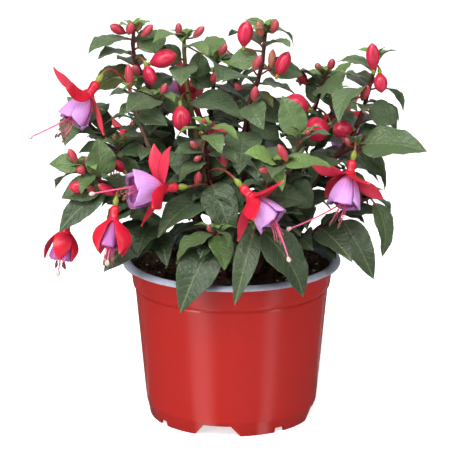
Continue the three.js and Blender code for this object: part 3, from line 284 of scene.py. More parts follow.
for k in range(DRAINS):
    turn = np.radians(45 + 90 * k)
    bpy.ops.mesh.primitive_cylinder_add(
        vertices=28, radius=DRAIN_RADIUS * MM, depth=DRILL_DEPTH * MM,
        location=(DRAIN_RING * MM * np.cos(turn), DRAIN_RING * MM * np.sin(turn), DRILL_HEIGHT * MM))
    drill = bpy.context.object
    cut = pot.modifiers.new("drain", "BOOLEAN")
    cut.operation = "DIFFERENCE"
    cut.object = drill
    bpy.context.view_layer.objects.active = pot
    bpy.ops.object.modifier_apply(modifier=cut.name)
    bpy.data.objects.remove(drill)


# The potting soil
# Dark peat with white perlite, filled to a finger's breadth under the lip and crumbled on top.
# The crumbs and the perlite are loose bits that lie half sunk in the surface.
# The pot's straight wall, which the soil follows, ends at the first radius and height.
BODY_RADIUS_HIGH = 57.6
BODY_TOP = 79.0
SOIL_TOP = 87.0
SOIL_MIDDLE = 40.0
SOIL_BOTTOM = 8.9
SOIL_COLUMNS = 120
SOIL_RINGS = 46
SOIL_CLEARANCE = 1.0
SOIL_EDGE = 57.9
SOIL_BANK = 3.4
BANK_START = 40.0
BANK_RUN = 16.0
RIPPLES = 46
CRUMBS = 520
CRUMBS_SUNK = 0.2
PERLITE = 120
PERLITE_SUNK = 0.15
PEAT = (0.046, 0.022, 0.013, 1)
PEAT_LIGHT = (0.220, 0.118, 0.066, 1)
draw = np.random.default_rng(11)
ripple_ways = draw.normal(size=(RIPPLES, 2))
ripple_ways *= (draw.uniform(0.5, 4.2, RIPPLES) / np.linalg.norm(ripple_ways, axis=1))[:, None]
ripple_phases = draw.uniform(0, 2 * np.pi, RIPPLES)


def soil_height(x, y):
    """The soil's top: a bank that rises against the wall, two slow swells that fade on it, and crumbs as a
    sum of small sine ripples that run in all directions."""
    swell = 1.1 * np.sin(x * 0.21 + 1) * np.cos(y * 0.17) + 0.9 * np.sin(x * 0.43 - y * 0.39)
    waves = np.sin(x[..., None] * ripple_ways[:, 0] + y[..., None] * ripple_ways[:, 1] + ripple_phases)
    fine = waves @ (0.42 / np.linalg.norm(ripple_ways, axis=1) ** 0.6)
    bank = SOIL_BANK * np.clip((np.hypot(x, y) - BANK_START) / BANK_RUN, 0, 1) ** 1.5
    return SOIL_TOP + bank + swell * (1 - 0.6 * bank / SOIL_BANK) + np.clip(0.55 * fine, -1.6, 1.6)


def soil_radius(z):
    """The radius of the soil at a height, a little inside the pot's straight wall."""
    share = (z - BODY_BOTTOM) / (BODY_TOP - BODY_BOTTOM)
    return BODY_RADIUS_LOW + (BODY_RADIUS_HIGH - BODY_RADIUS_LOW) * share - POT_WALL - SOIL_CLEARANCE


def lumps(centres, sizes, turns):
    """Rough twenty-sided lumps: icosahedra squashed, turned about Z and moved to their centres."""
    golden = (1 + 5 ** 0.5) / 2
    corners = np.array([
        [-1, golden, 0], [1, golden, 0], [-1, -golden, 0], [1, -golden, 0], [0, -1, golden], [0, 1, golden],
        [0, -1, -golden], [0, 1, -golden], [golden, 0, -1], [golden, 0, 1], [-golden, 0, -1], [-golden, 0, 1],
    ]) / np.hypot(1, golden)
    faces = np.array([
        [0, 11, 5], [0, 5, 1], [0, 1, 7], [0, 7, 10], [0, 10, 11], [1, 5, 9], [5, 11, 4], [11, 10, 2],
        [10, 7, 6], [7, 1, 8], [3, 9, 4], [3, 4, 2], [3, 2, 6], [3, 6, 8], [3, 8, 9], [4, 9, 5],
        [2, 4, 11], [6, 2, 10], [8, 6, 7], [9, 8, 1],
    ])
    count, each = len(sizes), len(corners)
    rough = corners[None] * sizes[:, None] * draw.uniform(0.75, 1.2, (count, each, 1))
    c, s = np.cos(turns)[:, None], np.sin(turns)[:, None]
    x, y, z = np.moveaxis(rough, -1, 0)
    spun = np.stack([x * c - y * s, x * s + y * c, z], -1)
    triangles = faces[None] + each * np.arange(count)[:, None, None]
    seeds = np.repeat(draw.uniform(0, 1, count), each)
    return {"points": (spun + centres[:, None]).reshape(-1, 3), "quads": np.zeros((0, 4), int),
            "triangles": triangles.reshape(-1, 3), "finish": 0,
            "grown": np.stack([0 * seeds, 0 * seeds, seeds], -1), "look": np.tile(seeds[:, None], (1, 4))}


def scattered(count, sizes, sunk):
    """Centres of loose bits over the soil, even by area, each sunk by a share of its half height."""
    r = (SOIL_EDGE - 1) * np.sqrt(draw.uniform(0, 1, count))
    a = draw.uniform(0, 2 * np.pi, count)
    x, y = r * np.cos(a), r * np.sin(a)
    return np.stack([x, y, soil_height(x, y) - sunk * sizes[:, 2]], -1)


turn = np.linspace(0, 2 * np.pi, SOIL_COLUMNS, endpoint=False)
reach = SOIL_EDGE * np.linspace(1, 0.02, SOIL_RINGS)[:, None]
x, y = reach * np.cos(turn), reach * np.sin(turn)
top = np.stack([x, y, soil_height(x, y)], -1)
wall = [(soil_radius(z), z) for z in (SOIL_BOTTOM, SOIL_MIDDLE, BODY_TOP)]
wall.append((SOIL_EDGE - 1.4, BODY_TOP + 3.0))
below = np.stack([np.stack([r * np.cos(turn), r * np.sin(turn), z + 0 * turn], -1) for r, z in wall])
summit = soil_height(np.zeros(1), np.zeros(1))[0]
soil_part = skins(np.array([[0, 0, SOIL_BOTTOM]]), np.concatenate([below, top])[None],
                  np.array([[0, 0, summit]]), np.zeros(3), np.zeros(4), 0)

peat, tree, shader = new_finish("peat", Roughness=0.95, Specular_IOR_Level=0.2)
crumble = mottled(tree, 420, 3.2)
damp = mottled(tree, 60, 2.2)
seed = add(tree, "ShaderNodeAttribute", attribute_name="look")
tint = blended(tree, crumble.outputs["Mask"], PEAT, PEAT_LIGHT)
tint = blended(tree, ranged(tree, seed.outputs["Fac"], 0.55, 1, 0, 0.6), tint, (0.26, 0.140, 0.075, 1))
tint = blended(tree, ranged(tree, damp.outputs["Mask"], 0.3, 0.8, 0, 0.5), tint, (0.010, 0.006, 0.004, 1))
tree.links.new(tint, shader.inputs["Base Color"])
bumped(tree, shader, crumble.outputs["Height"], 0.9, 0.0012)
perlite, tree, shader = new_finish("perlite", Roughness=0.9)
stain = mottled(tree, 700, 3.0)
tint = blended(tree, stain.outputs["Mask"], (0.80, 0.78, 0.72, 1), (0.50, 0.45, 0.38, 1))
tree.links.new(tint, shader.inputs["Base Color"])
bumped(tree, shader, stain.outputs["Height"], 0.5, 0.0004)

crumb_sizes = draw.uniform(0.45, 1.35, (CRUMBS, 3)) * np.array([1, 0.8, 0.6])
crumbs = lumps(scattered(CRUMBS, crumb_sizes, CRUMBS_SUNK), crumb_sizes, draw.uniform(0, 6.28, CRUMBS))
make_piece("potting_soil", [soil_part, crumbs], [peat], ["soil"])
bit_sizes = draw.uniform(0.6, 1.3, (PERLITE, 3)) * np.array([1.35, 0.9, 0.7])
bits = lumps(scattered(PERLITE, bit_sizes, PERLITE_SUNK), bit_sizes, draw.uniform(0, 6.28, PERLITE))
make_piece("perlite_bits", [bits], [perlite])


# The stems
# Thirteen woody shoots rise from the soil and fork. Young bark is smooth and red-brown, and it turns tan and
# finely furrowed with age. Each joint that carried a pair of leaves is a little swollen.
STEM_SEAT = 80.0
ROOT_DEPTH = 0.35
TIP_INSET = 0.15
# Each stem: the shoot it belongs to, its radii at the foot and the tip, and the path of its centre.
STEMS = {
    "left": ("left", [2.3, 1.1], [
        [-20, -10, STEM_SEAT], [-38, -18, 112], [-52, -26, 131], [-62, -30, 141], [-75, -31, 150],
        [-88, -30, 161]]),
    "left_up": ("left", [1.3, 0.9], [[-50, -25, 129], [-58, -14, 146], [-66, 0, 158], [-67, 2, 165]]),
    "upper_left": ("upper_left", [2.5, 1.1], [
        [-10, 8, STEM_SEAT], [-18, 10, 112], [-32, 11, 146], [-43, 11, 168], [-46, 10, 182],
        [-47, 10, 193], [-52, 9, 204], [-57, 8, 214], [-58, 8, 224], [-57, 8, 235]]),
    "tan": ("upper_left", [1.7, 1.0], [
        [-25, 10, 130], [-39, 1, 151], [-49, -6, 166], [-54, -8, 180], [-57, -9, 193], [-61, -9, 205]]),
    "side_left": ("upper_left", [1.1, 0.9], [[-45, 10, 176], [-44, 2, 186], [-42, -4, 195]]),
    "centre_left": ("centre_left", [2.4, 1.2], [
        [-4, 10, STEM_SEAT], [-11, 13, 118], [-19, 15, 155], [-25, 15, 188], [-27, 15, 204],
        [-28, 15, 218], [-28, 15, 227]]),
    "centre": ("centre", [2.2, 1.1], [
        [0, 17, STEM_SEAT], [-8, 20, 128], [-13, 21, 163], [-12, 20, 186], [-10, 20, 202],
        [-9, 20, 213]]),
    "front": ("front", [2.4, 1.1], [
        [-3, -8, STEM_SEAT], [-7, -17, 114], [-11, -23, 138], [-13, -25, 150], [-14, -26, 163],
        [-15, -26, 174], [-15, -26, 182]]),
    "front_low": ("front", [1.5, 0.9], [[-6, -15, 105], [-8, -34, 113], [-10, -47, 120], [-8, -54, 127]]),
    "top_right": ("top_right", [2.5, 1.1], [
        [5, 1, STEM_SEAT], [7, 2, 120], [8, 2, 150], [8, 2, 173], [10, 1, 189], [15, 0, 202],
        [18, 0, 214], [19, 0, 225], [20, 0, 235]]),
    "right": ("right", [2.4, 1.1], [
        [12, -4, STEM_SEAT], [29, -6, 116], [47, -7, 142], [62, -6, 160], [71, -5, 172], [77, -5, 187],
        [80, -5, 199], [83, -5, 211], [86, -5, 220]]),
    "right_side": ("right", [1.4, 1.0], [[61, -6, 159], [67, -11, 164], [73, -17, 168]]),
    "back_right": ("back_right", [2.2, 1.1], [
        [9, 12, STEM_SEAT], [23, 18, 119], [37, 22, 149], [48, 24, 175], [53, 25, 192], [56, 25, 203]]),
    "right_mid": ("back_right", [1.4, 0.9], [[37, 22, 149], [50, 16, 167], [61, 9, 181], [68, 5, 190]]),
    "front_right": ("front_right", [2.2, 1.0], [
        [7, -13, STEM_SEAT], [13, -31, 118], [19, -45, 146], [24, -52, 160], [26, -55, 167]]),
    "front_right_low": ("front_right", [1.4, 1.0], [[14, -33, 122], [14, -46, 129], [13, -57, 131]]),
    "front_right_up": ("front_right", [1.5, 0.9], [
        [17, -38, 133], [30, -38, 152], [38, -35, 172], [40, -34, 178]]),
    "low_right": ("low_right", [2.1, 1.0], [
        [16, -10, STEM_SEAT], [34, -17, 104], [51, -22, 120], [65, -25, 131], [74, -24, 136],
        [82, -21, 139]]),
    "back_left": ("back_left", [2.3, 1.1], [
        [-8, 17, STEM_SEAT], [-26, 34, 120], [-44, 48, 150], [-53, 57, 172], [-57, 60, 188]]),
    "back_left_low": ("back_left", [1.5, 1.0], [[-26, 34, 120], [-52, 44, 132], [-76, 48, 141]]),
    "far_left": ("back_left", [1.6, 0.9], [
        [-37, 43, 139], [-56, 34, 151], [-74, 18, 163], [-84, 12, 174], [-90, 10, 181]]),
    "back": ("back", [2.3, 1.1], [
        [1, 24, STEM_SEAT], [2, 42, 122], [3, 54, 158], [3, 60, 182], [2, 62, 198]]),
    "back_low": ("back", [1.5, 1.0], [[2, 38, 112], [-3, 60, 124], [-11, 79, 131]]),
    "back_far_right": ("back_far_right", [2.2, 1.1], [
        [11, 20, STEM_SEAT], [31, 38, 120], [51, 50, 148], [61, 56, 170], [65, 57, 186]]),
    "back_right_low": ("back_far_right", [1.5, 1.0], [[31, 38, 120], [55, 42, 132], [80, 42, 142]]),
}
shoots = {}


def unit(vectors):
    """Vectors scaled to length 1."""
    vectors = np.asarray(vectors, float)
    return vectors / np.maximum(np.linalg.norm(vectors, axis=-1, keepdims=True), 1e-9)


def square_to(axis, guide):
    """Two unit vectors square to the axis: the guide's part that is square to it, and their cross product."""
    axis, guide = np.broadcast_arrays(np.asarray(axis, float), np.asarray(guide, float))
    first = unit(guide - axis * (guide * axis).sum(-1, keepdims=True))
    return first, np.cross(axis, first)


def along(path, at):
    """A point of a path at a number such as 2.5, half-way from its point 2 to its point 3."""
    i = min(int(at), len(path) - 2)
    return np.array(path[i], float) + (np.array(path[i + 1], float) - path[i]) * (at - i)


def root_on(stem, where, toward):
    """The root of what grows out of a stem: inside it, on the side that the growth leaves from."""
    _, radii, path = STEMS[stem]
    at = min(where, len(path) - 1 - TIP_INSET)
    tangent = unit(along(path, at + 0.02) - along(path, at - 0.02))
    radial, _ = square_to(tangent, np.asarray(toward, float) - along(path, at))
    return along(path, at) + radial * ROOT_DEPTH * (radii[0] + (radii[1] - radii[0]) * at / (len(path) - 1))


def run_along(path):
    """How far along a broken line each of its points is."""
    return np.concatenate([[0], np.cumsum(np.linalg.norm(np.diff(path, axis=0), axis=1))])


def evened(path, step, window):
    """A broken line cut at even steps, each point the mean over a window that closes at the line's ends."""
    path = np.asarray(path, float)
    run = run_along(path)
    at = np.linspace(0, run[-1], max(int(run[-1] / step), 4) + 1)
    open_by = np.minimum(window, np.minimum(at, run[-1] - at))[:, None]
    near = at[:, None] + open_by * np.linspace(-1, 1, 9)
    return np.stack([np.interp(near, run, path[:, i]).mean(1) for i in range(3)], -1), at, run


def tube(centres, radii, sides, finish, look=(0.5, 0, 0, 0), ribs=0, rib_depth=0.0, turn=0.0, seed=0.0):
    """A closed skin along its centres: centre + r (u cos a + v sin a), and r (1 + d cos n a) for ribs."""
    centres = np.asarray(centres, float)
    way = unit(np.gradient(centres, axis=0))
    guides = np.eye(3)
    u, v = (side[:, None] for side in square_to(way, guides[np.argmin(np.abs(way @ guides).max(0))]))
    a = np.linspace(0, 2 * np.pi, sides, endpoint=False)
    r = np.asarray(radii, float)[:, None] * (1 + rib_depth * np.cos(ribs * (a - turn)))
    ring = centres[:, None] + u * (r * np.cos(a))[..., None] + v * (r * np.sin(a))[..., None]
    run = run_along(centres)
    share = run[:, None] / max(run[-1], 1e-6)
    grown = np.stack(np.broadcast_arrays(share, a / (2 * np.pi), seed + 0 * r), -1)
    ends = [centres[i][None] + way[i] * radii[i] * s for i, s in ((0, -0.4), (-1, 0.6))]
    return skins(ends[0], ring[None], ends[1], grown[None], np.array(look, float), finish)


# The finishes of a shoot, in the order in which its piece takes them.
BARK, OLD_BARK, GREEN_SKIN, RED_SKIN, BLADE = range(5)
OLD_STEMS = ("tan", "centre_left")
STEM_TONE = {"centre_left": 1.0}
STEM_SIDES = 12
STEM_STEP = 1.5
STEM_WINDOW = 2.2
JOINT_SWELL = 0.16
JOINT_REACH = 1.6
for number, (name, (shoot, radii, path)) in enumerate(STEMS.items()):
    centres, at, joints = evened(path, STEM_STEP, STEM_WINDOW)
    share = at / at[-1]
    swell = JOINT_SWELL * np.exp(-((at[:, None] - joints[1:-1]) / JOINT_REACH) ** 2).sum(1)
    thick = (radii[0] + (radii[1] - radii[0]) * share) * (0.94 + swell + 0.03 * np.sin(at * 0.9 + number))
    finish = OLD_BARK if name in OLD_STEMS else BARK
    tone = STEM_TONE.get(name, 0.4)
    skin = tube(centres, thick, STEM_SIDES, finish, (tone, 0, 0, 0), ribs=5, rib_depth=0.035, turn=number,
                seed=number)
    shoots.setdefault(shoot, []).append(skin)


def own_place(tree):
    """A skin's own coordinates as sockets: X is its share along, Y its place across or around, Z its seed."""
    grown = add(tree, "ShaderNodeAttribute", attribute_name="grown")
    return add(tree, "ShaderNodeSeparateXYZ", {"Vector": grown.outputs["Vector"]}).outputs


def own_look(tree):
    """A skin's four looks as sockets, by the names Red, Green, Blue and Alpha."""
    look = add(tree, "ShaderNodeAttribute", attribute_name="look")
    parted = add(tree, "ShaderNodeSeparateColor", {"Color": look.outputs["Color"]})
    return {**dict(parted.outputs.items()), "Alpha": look.outputs["Alpha"]}


# Furrows: fine lines that run lengthwise along a stem, from its own attribute round the ring.
bark_lines, given, out = new_group("bark lines", {"Lines": 9.0}, ["Mask"])
spun = scaled(bark_lines, own_place(bark_lines)["Y"], given.outputs["Lines"])
coords = add(bark_lines, "ShaderNodeTexCoord")
wobble = add(bark_lines, "ShaderNodeTexNoise", {"Vector": coords.outputs["Object"], "Scale": 260.0})
moved = reckoned(bark_lines, "MULTIPLY_ADD", wobble.outputs["Fac"], 1.6, spun)
zigzag = reckoned(bark_lines, "PINGPONG", moved, 0.5)
bark_lines.links.new(scaled(bark_lines, zigzag, 2.0), out.inputs["Mask"])


def bark_finish(name, young, aged, strength):
    """Bark in two colours, with furrows, blotches and a dull skin, and olive where its tone is high."""
    material, tree, shader = new_finish(name, Roughness=0.62, Specular_IOR_Level=0.35)
    blotch = mottled(tree, 120, 3.0)
    lines = add(tree, "ShaderNodeGroup", node_tree=bark_lines)
    tint = blended(tree, blotch.outputs["Mask"], young, aged)
    tint = blended(tree, ranged(tree, own_look(tree)["Red"], 0.5, 1, 0, 0.9), tint, (0.27, 0.23, 0.065, 1))
    tint = blended(tree, ranged(tree, lines.outputs["Mask"], 0.7, 1, 0, 0.45), tint, (0.03, 0.012, 0.009, 1))
    tree.links.new(tint, shader.inputs["Base Color"])
    bumped(tree, shader, lines.outputs["Mask"], strength, 0.0003)
    return material


young_bark = bark_finish("young_bark", (0.105, 0.022, 0.022, 1), (0.060, 0.018, 0.014, 1), 0.35)
old_bark = bark_finish("old_bark", (0.36, 0.22, 0.17, 1), (0.21, 0.115, 0.075, 1), 0.5)


# The flower stalks and ovaries
# Every bloom hangs from a thin wiry stalk that bows over, flushed red on its sunny side.
# It ends in the ovary, a small green barrel that carries the flower.
# Each bloom: where its ovary starts, which way it points, the reflex of its sepals and their turn, how open
# it is, its stem, where its stalk leaves it, and the tip of its style.
BLOOMS = {
    "left_top": ([-75, -18, 211], [-0.54, -0.37, -0.76], [100, 75, 35, 95], 40, 0.82,
                 "tan", 4.8, [-116, -40, 179]),
    "left_mid": ([-26, -48, 152], [-0.94, -0.33, 0.04], [95, 75, 80, 100], 10, 0.92,
                 "front", 2.6, [-80, -64, 152]),
    "low_left": ([-66, -52, 147], [-0.12, -0.45, -0.885], [5, 12, 20, 8], 35, 0.45,
                 "left", 2.9, [-71, -72, 113]),
    "far_left": ([-95, -27, 133], [-0.15, -0.25, -0.95], [30, 15, 5, 12], 60, 0.45,
                 "left", 4.2, [-101, -40, 97]),
    "centre": ([2, -62, 160], [0.66, -0.35, -0.67], [85, 45, 95, 80], 20, 0.82,
               "front", 3.4, [32, -92, 121]),
    "right": ([71, -29, 168], [-0.21, -0.42, -0.885], [90, 85, 50, 70], 30, 0.86,
              "right_side", 1.5, [32, -63, 131]),
    "upper_back": ([-12, 34, 198], [-0.8, 0.2, -0.45], [90, 75, 80, 95], 15, 0.9,
                   "centre", 3.8, [-60, 46, 168]),
    "back_right": ([60, 69, 178], [0.38, 0.3, -0.87], [95, 80, 70, 90], 80, 1,
                   "back_far_right", 3.2, [76, 81, 130]),
    "back_left": ([-57, 71, 166], [-0.4, 0.18, -0.9], [90, 95, 75, 85], 23, 1,
                  "back_left", 2.8, [-74, 77, 118]),
    "back_low": ([14, 78, 161], [0.15, 0.16, -0.975], [10, 18, 8, 14], 25, 0.5,
                 "back", 2.4, [18, 84, 112]),
}
STALK_BOW = 7.0
STALK_STEPS = 26
OVARY_PROFILE = [(-0.6, 0.75), (0.2, 1.12), (1.4, 1.68), (2.8, 1.92), (4.2, 1.62), (5.4, 1.12)]
OVARY_STEPS = 14
WIDE_OPEN = 0.6
UP = (0, 0, 1)


def bezier(points, t):
    """Points of a Bezier curve: its control points, mixed with their neighbours by t until one is left."""
    t = np.asarray(t, float)[:, None]
    level = [np.asarray(p, float)[None] + 0 * t for p in points]
    while len(level) > 1:
        level = [a + (b - a) * t for a, b in zip(level, level[1:])]
    return level[0]


class Spot:
    """A bloom's own frame, for whole arrays: out from its axis, on along it, and round it by a turn."""

    def __init__(self, foot, axis):
        self.foot = np.array(foot, float)
        self.axis = unit(axis)
        self.u, self.v = square_to(self.axis, UP)

    def outward(self, turn):
        return self.u * np.cos(turn)[..., None] + self.v * np.sin(turn)[..., None]

    def __call__(self, out, on, turn=0.0):
        out, on, turn = np.broadcast_arrays(*(np.asarray(a, float) for a in (out, on, turn)))
        return self.foot + self.axis * on[..., None] + self.outward(turn) * out[..., None]


spots = {name: Spot(row[0], row[1]) for name, row in BLOOMS.items()}


def stalk(stem, where, foot, axis, bow):
    """The control points of a stalk from a stem to a foot, where it arrives along the axis after a bow."""
    start = root_on(stem, where, foot)
    before = np.asarray(foot, float) - unit(axis) * bow
    return [start, (start + before) / 2 + np.array([0, 0, bow * 0.5]), before, np.asarray(foot, float)]


for name, (foot, axis, reflex, turn, opened, stem, where, style) in BLOOMS.items():
    t = np.linspace(0, 1, STALK_STEPS)
    line = bezier(stalk(stem, where, foot, axis, STALK_BOW), t)
    girth = 0.66 + 0.16 * np.exp(-9 * t) + 0.25 * t ** 8
    shoot = shoots[STEMS[stem][0]]
    shoot.append(tube(line, girth, 9, RED_SKIN, (0.3, 0, 0, 0), ribs=3, rib_depth=0.03))
    on = np.linspace(OVARY_PROFILE[0][0], OVARY_PROFILE[-1][0], OVARY_STEPS)
    barrel = np.interp(on, *np.array(OVARY_PROFILE).T)
    shoot.append(tube(spots[name](0 * on, on), barrel, 16, GREEN_SKIN, ribs=4, rib_depth=0.05,
                      turn=np.radians(turn)))

red_skin, tree, shader = new_finish("stalk_skin", Roughness=0.45, Specular_IOR_Level=0.4)
blush = mottled(tree, 160, 4.0)
tint = blended(tree, blush.outputs["Mask"], (0.22, 0.020, 0.025, 1), (0.17, 0.085, 0.035, 1))
tree.links.new(tint, shader.inputs["Base Color"])
green_skin, tree, shader = new_finish("ovary_skin", Roughness=0.38, Specular_IOR_Level=0.45)
blush = mottled(tree, 300, 3.0)
tint = blended(tree, blush.outputs["Mask"], (0.19, 0.26, 0.030, 1), (0.27, 0.29, 0.045, 1))
tree.links.new(tint, shader.inputs["Base Color"])
bumped(tree, shader, blush.outputs["Height"], 0.08, 0.0003)


# The sepals
# A waxy scarlet tube bellies out below the ovary and parts into four long pointed sepals.
# They are thick and glossy, ribbed lengthwise, redder at the edges, and reflexed on the blooms that are open.
TUBE_PROFILE = [(4.9, 0.95), (5.3, 1.6), (6.1, 2.4), (7.4, 2.88), (8.8, 2.78), (10.2, 2.52), (11.4, 2.5),
                (12.6, 2.78), (13.4, 3.15), (13.75, 3.22), (13.9, 3.0), (13.7, 2.6), (13.2, 2.2), (12.4, 1.9)]
TUBE_START = 4.7
TUBE_FLOOR = 12.2
TUBE_SIDES = 32
MOUTH_RADIUS = 2.9
MOUTH_HEIGHT = 13.8
# The sizes of a sepal on an open bloom, True, and on a lantern that is still half shut, False.
SEPAL_LENGTH = {True: 24.0, False: 22.0}
SEPAL_WIDTH = {True: 6.0, False: 5.8}
SEPAL_START_ANGLE = {True: 60, False: 55}
PAST_REFLEX = {True: 28, False: -40}
# How the sepals of some blooms really hang: their turn and reflex where the solids are only near.
POSED = {
    "left_mid": (-14, [94, 80, 40, 24]), "right": (38, [88, 32, 52, 56]), "left_top": (46, [100, 75, 12, 50]),
    "centre": (10, [54, 25, 30, 80]), "low_left": (35, [8, 14, 24, 10]),
}
# How far some sepals stand from their even places round the tube, in degrees.
SPLAY = {
    "low_left": [16, 0, 0, -16], "left_mid": [0, -45, 0, 0], "centre": [0, -20, -25, 0],
    "left_top": [0, 0, 0, 15],
}
# How far some sepals turn their broad face aside, in degrees, where they differ from the others.
TWISTED = {
    "left_top": [22, 26, -18, -55], "left_mid": [12, 35, 10, 35], "right": [30, 20, -30, 0],
    "centre": [0, -14, 20, 0],
}
# One lantern is smaller than the rest.
SEPAL_SHORTER = {"far_left": 0.86}
SEPAL_STEPS = 200
SEPAL_ROWS = 26
SEPAL_ACROSS = 9
SEPAL_THICK = 0.36


def seed_of(name):
    """A number of its own for each bloom, from the letters of its name."""
    return sum(map(ord, name)) * 0.37


def two_faced(count):
    """Positions across a thin blade, -1 to 1 over its front and back again; with 1 for front, -1 for back."""
    front = np.sin(np.linspace(-1, 1, count) * np.pi / 2)
    across = np.concatenate([front, front[-2:0:-1]])
    return across, np.concatenate([np.ones(count), -np.ones(count - 2)])


def tip_angle(reflex, wide):
    """The angle to the axis that a sepal turns towards, from its reflex in degrees."""
    return np.radians(reflex + PAST_REFLEX[wide])


def sepal_line(q, reflex, wide):
    """Where a sepal's midline is at a share q of its length, in steps summed along it, and its angle to the
    axis. On an open bloom that turns by 0.40 (1 - e^(-q / 0.07)) + 0.30 q + 0.12 q^4 of its way, on a lantern
    by q."""
    start = np.radians(SEPAL_START_ANGLE[wide])
    fine = np.linspace(0, 1, SEPAL_STEPS + 1)
    turned_by = 0.40 * (1 - np.exp(-fine / 0.07)) + 0.30 * fine + 0.12 * fine ** 4
    angle = start + (tip_angle(reflex, wide) - start) * (turned_by if wide else fine)
    step = SEPAL_LENGTH[wide] / SEPAL_STEPS
    out = np.concatenate([[0], np.cumsum(np.sin((angle[1:] + angle[:-1]) / 2) * step)])
    on = np.concatenate([[0], np.cumsum(np.cos((angle[1:] + angle[:-1]) / 2) * step)])
    return np.interp(q, fine, out), np.interp(q, fine, on), np.interp(q, fine, angle)


def sepal_shape(q):
    """Width of a sepal as a share of its widest: narrow at the tube, widest before the middle, pointed."""
    return np.sin(np.pi * (0.18 + 0.82 * q)) ** 0.9


def sepal_skins(spot, reflex, turn, wide, seed, splay, twisted, shorter):
    """The four sepals of a bloom: a cupped blade of half width w(q) carried along its curling midline,
    with raised edges, three ribs on its outer face and a thickness that fades to the edge and the tip."""
    across, face = two_faced(SEPAL_ACROSS)
    q = np.concatenate([[-0.10, -0.05], 1 - (1 - np.linspace(0, 0.995, SEPAL_ROWS - 2)) ** 1.25])
    inside, s = np.maximum(q, 0), across[None, None]
    share = inside[None, :, None]
    turns = np.radians(turn + 90 * np.arange(4) + np.array(splay))[:, None]
    parts = [sepal_line(inside, r, wide) for r in reflex]
    out, on, angle = (np.stack([p[i] for p in parts]) for i in range(3))
    out, on = MOUTH_RADIUS + shorter * out, MOUTH_HEIGHT + shorter * on
    sunk = np.minimum(q, 0) * SEPAL_LENGTH[wide]
    centre = spot(out + sunk * 0.25, on + sunk * 0.75, turns)
    radial = spot.outward(turns + 0 * q)
    inner = -radial * np.cos(angle)[..., None] + spot.axis * np.sin(angle)[..., None]
    side = spot.outward(turns + np.pi / 2 + 0 * q)
    half = (SEPAL_WIDTH[wide] * sepal_shape(inside) * (1 + 0.03 * np.sin(9 * q + seed)))[None, :, None]
    cup = (0.8 + 0.55 * np.exp(-6 * share)) * s ** 2
    wavy = 0.35 * np.sin(4.5 * inside + seed + turns)[..., None] * s * share
    thick = SEPAL_THICK * (1 - 0.85 * s ** 4) * (1 - 0.45 * share)
    ribs = 0.10 * (np.exp(-(s / 0.12) ** 2) + 0.7 * np.exp(-((np.abs(s) - 0.45) / 0.10) ** 2)) * (face > 0)
    height = cup + wavy - face * thick - ribs
    twist = np.radians(twisted)[:, None, None] * np.minimum(1.6 * share, 1)
    aside = half * s * np.cos(twist) - height * np.sin(twist)
    height = half * s * np.sin(twist) + height * np.cos(twist)
    rings = centre[:, :, None] + side[:, :, None] * aside[..., None] + inner[:, :, None] * height[..., None]
    turned_by = turns[..., None]
    grown = np.stack(np.broadcast_arrays(q[None, :, None] + 0 * turned_by, s, seed + turned_by), -1)
    look = np.stack(np.broadcast_arrays(seed % 1 + 0 * grown[..., 0], 0, np.where(face > 0, 0.0, 1.0), 0), -1)
    point = 0.005 * SEPAL_LENGTH[wide]
    last = angle[:, -1]
    tips = spot(out[:, -1] + point * np.sin(last), on[:, -1] + point * np.cos(last), turns[:, 0])
    return skins(centre[:, 0], rings, tips, grown, look, 0)


scarlet, tree, shader = new_finish("scarlet_sepal", Roughness=0.36, Specular_IOR_Level=0.5,
                                   Subsurface_Weight=0.06, Subsurface_Scale=0.001)
shader.inputs["Subsurface Radius"].default_value = (1.0, 0.25, 0.2)
wax = mottled(tree, 180, 2.0)
place, worn = own_place(tree), own_look(tree)
tint = blended(tree, wax.outputs["Mask"], (0.72, 0.013, 0.046, 1), (0.52, 0.007, 0.024, 1))
tint = blended(tree, worn["Blue"], tint, (0.74, 0.036, 0.080, 1))
rim = ranged(tree, reckoned(tree, "ABSOLUTE", place["Y"]), 0.7, 1, 0, 0.35)
tint = blended(tree, rim, tint, (0.60, 0.012, 0.030, 1))
tint = blended(tree, ranged(tree, place["X"], 0.9, 1, 0, 0.5), tint, (0.42, 0.20, 0.05, 1))
tree.links.new(tint, shader.inputs["Base Color"])
bumped(tree, shader, reckoned(tree, "SINE", scaled(tree, place["Y"], 26.0)), 0.10, 0.0002)

for name, (foot, axis, reflex, turn, opened, stem, where, style) in BLOOMS.items():
    spot, seed = spots[name], seed_of(name)
    turn, reflex = POSED.get(name, (turn, reflex))
    on, r = np.array(TUBE_PROFILE).T
    around = np.linspace(0, 2 * np.pi, TUBE_SIDES, endpoint=False)
    squared = 1 + 0.035 * np.cos(4 * (around - np.radians(turn)))
    rings = spot(r[:, None] * squared, on[:, None] + 0 * around, around)[None]
    grown = np.stack(np.broadcast_arrays(on[:, None] * 0 - 0.2, 0 * around, seed), -1)[None]
    tube_skin = skins(spot([0.0], [TUBE_START]), rings, spot([0.0], [TUBE_FLOOR]), grown, np.zeros(4), 0)
    twisted = TWISTED.get(name, 26 * np.sin(3.3 * np.arange(4) + seed) * 0.8)
    four = sepal_skins(spot, reflex, turn, opened > WIDE_OPEN, seed, SPLAY.get(name, [0, 0, 0, 0]), twisted,
                       SEPAL_SHORTER.get(name, 1))
    make_piece(f"sepals_{name}", [tube_skin, four], [scarlet], [f"calyx_{name}"])


# The petals
# Four soft lavender petals, rolled one over the next into a flared cup with a scalloped, slightly wavy lip.
# Pink veins fan out from their deep pink base.
PETAL_START = 14.3
PETAL_SPAN = 104
CUP_SPAN = 74
PETAL_LAYER = 1.9
PETAL_SCALLOP = 2.4
PETAL_THICK = 0.17
PETAL_ROWS = 18
PETAL_ACROSS = 15
THROAT = 2.2
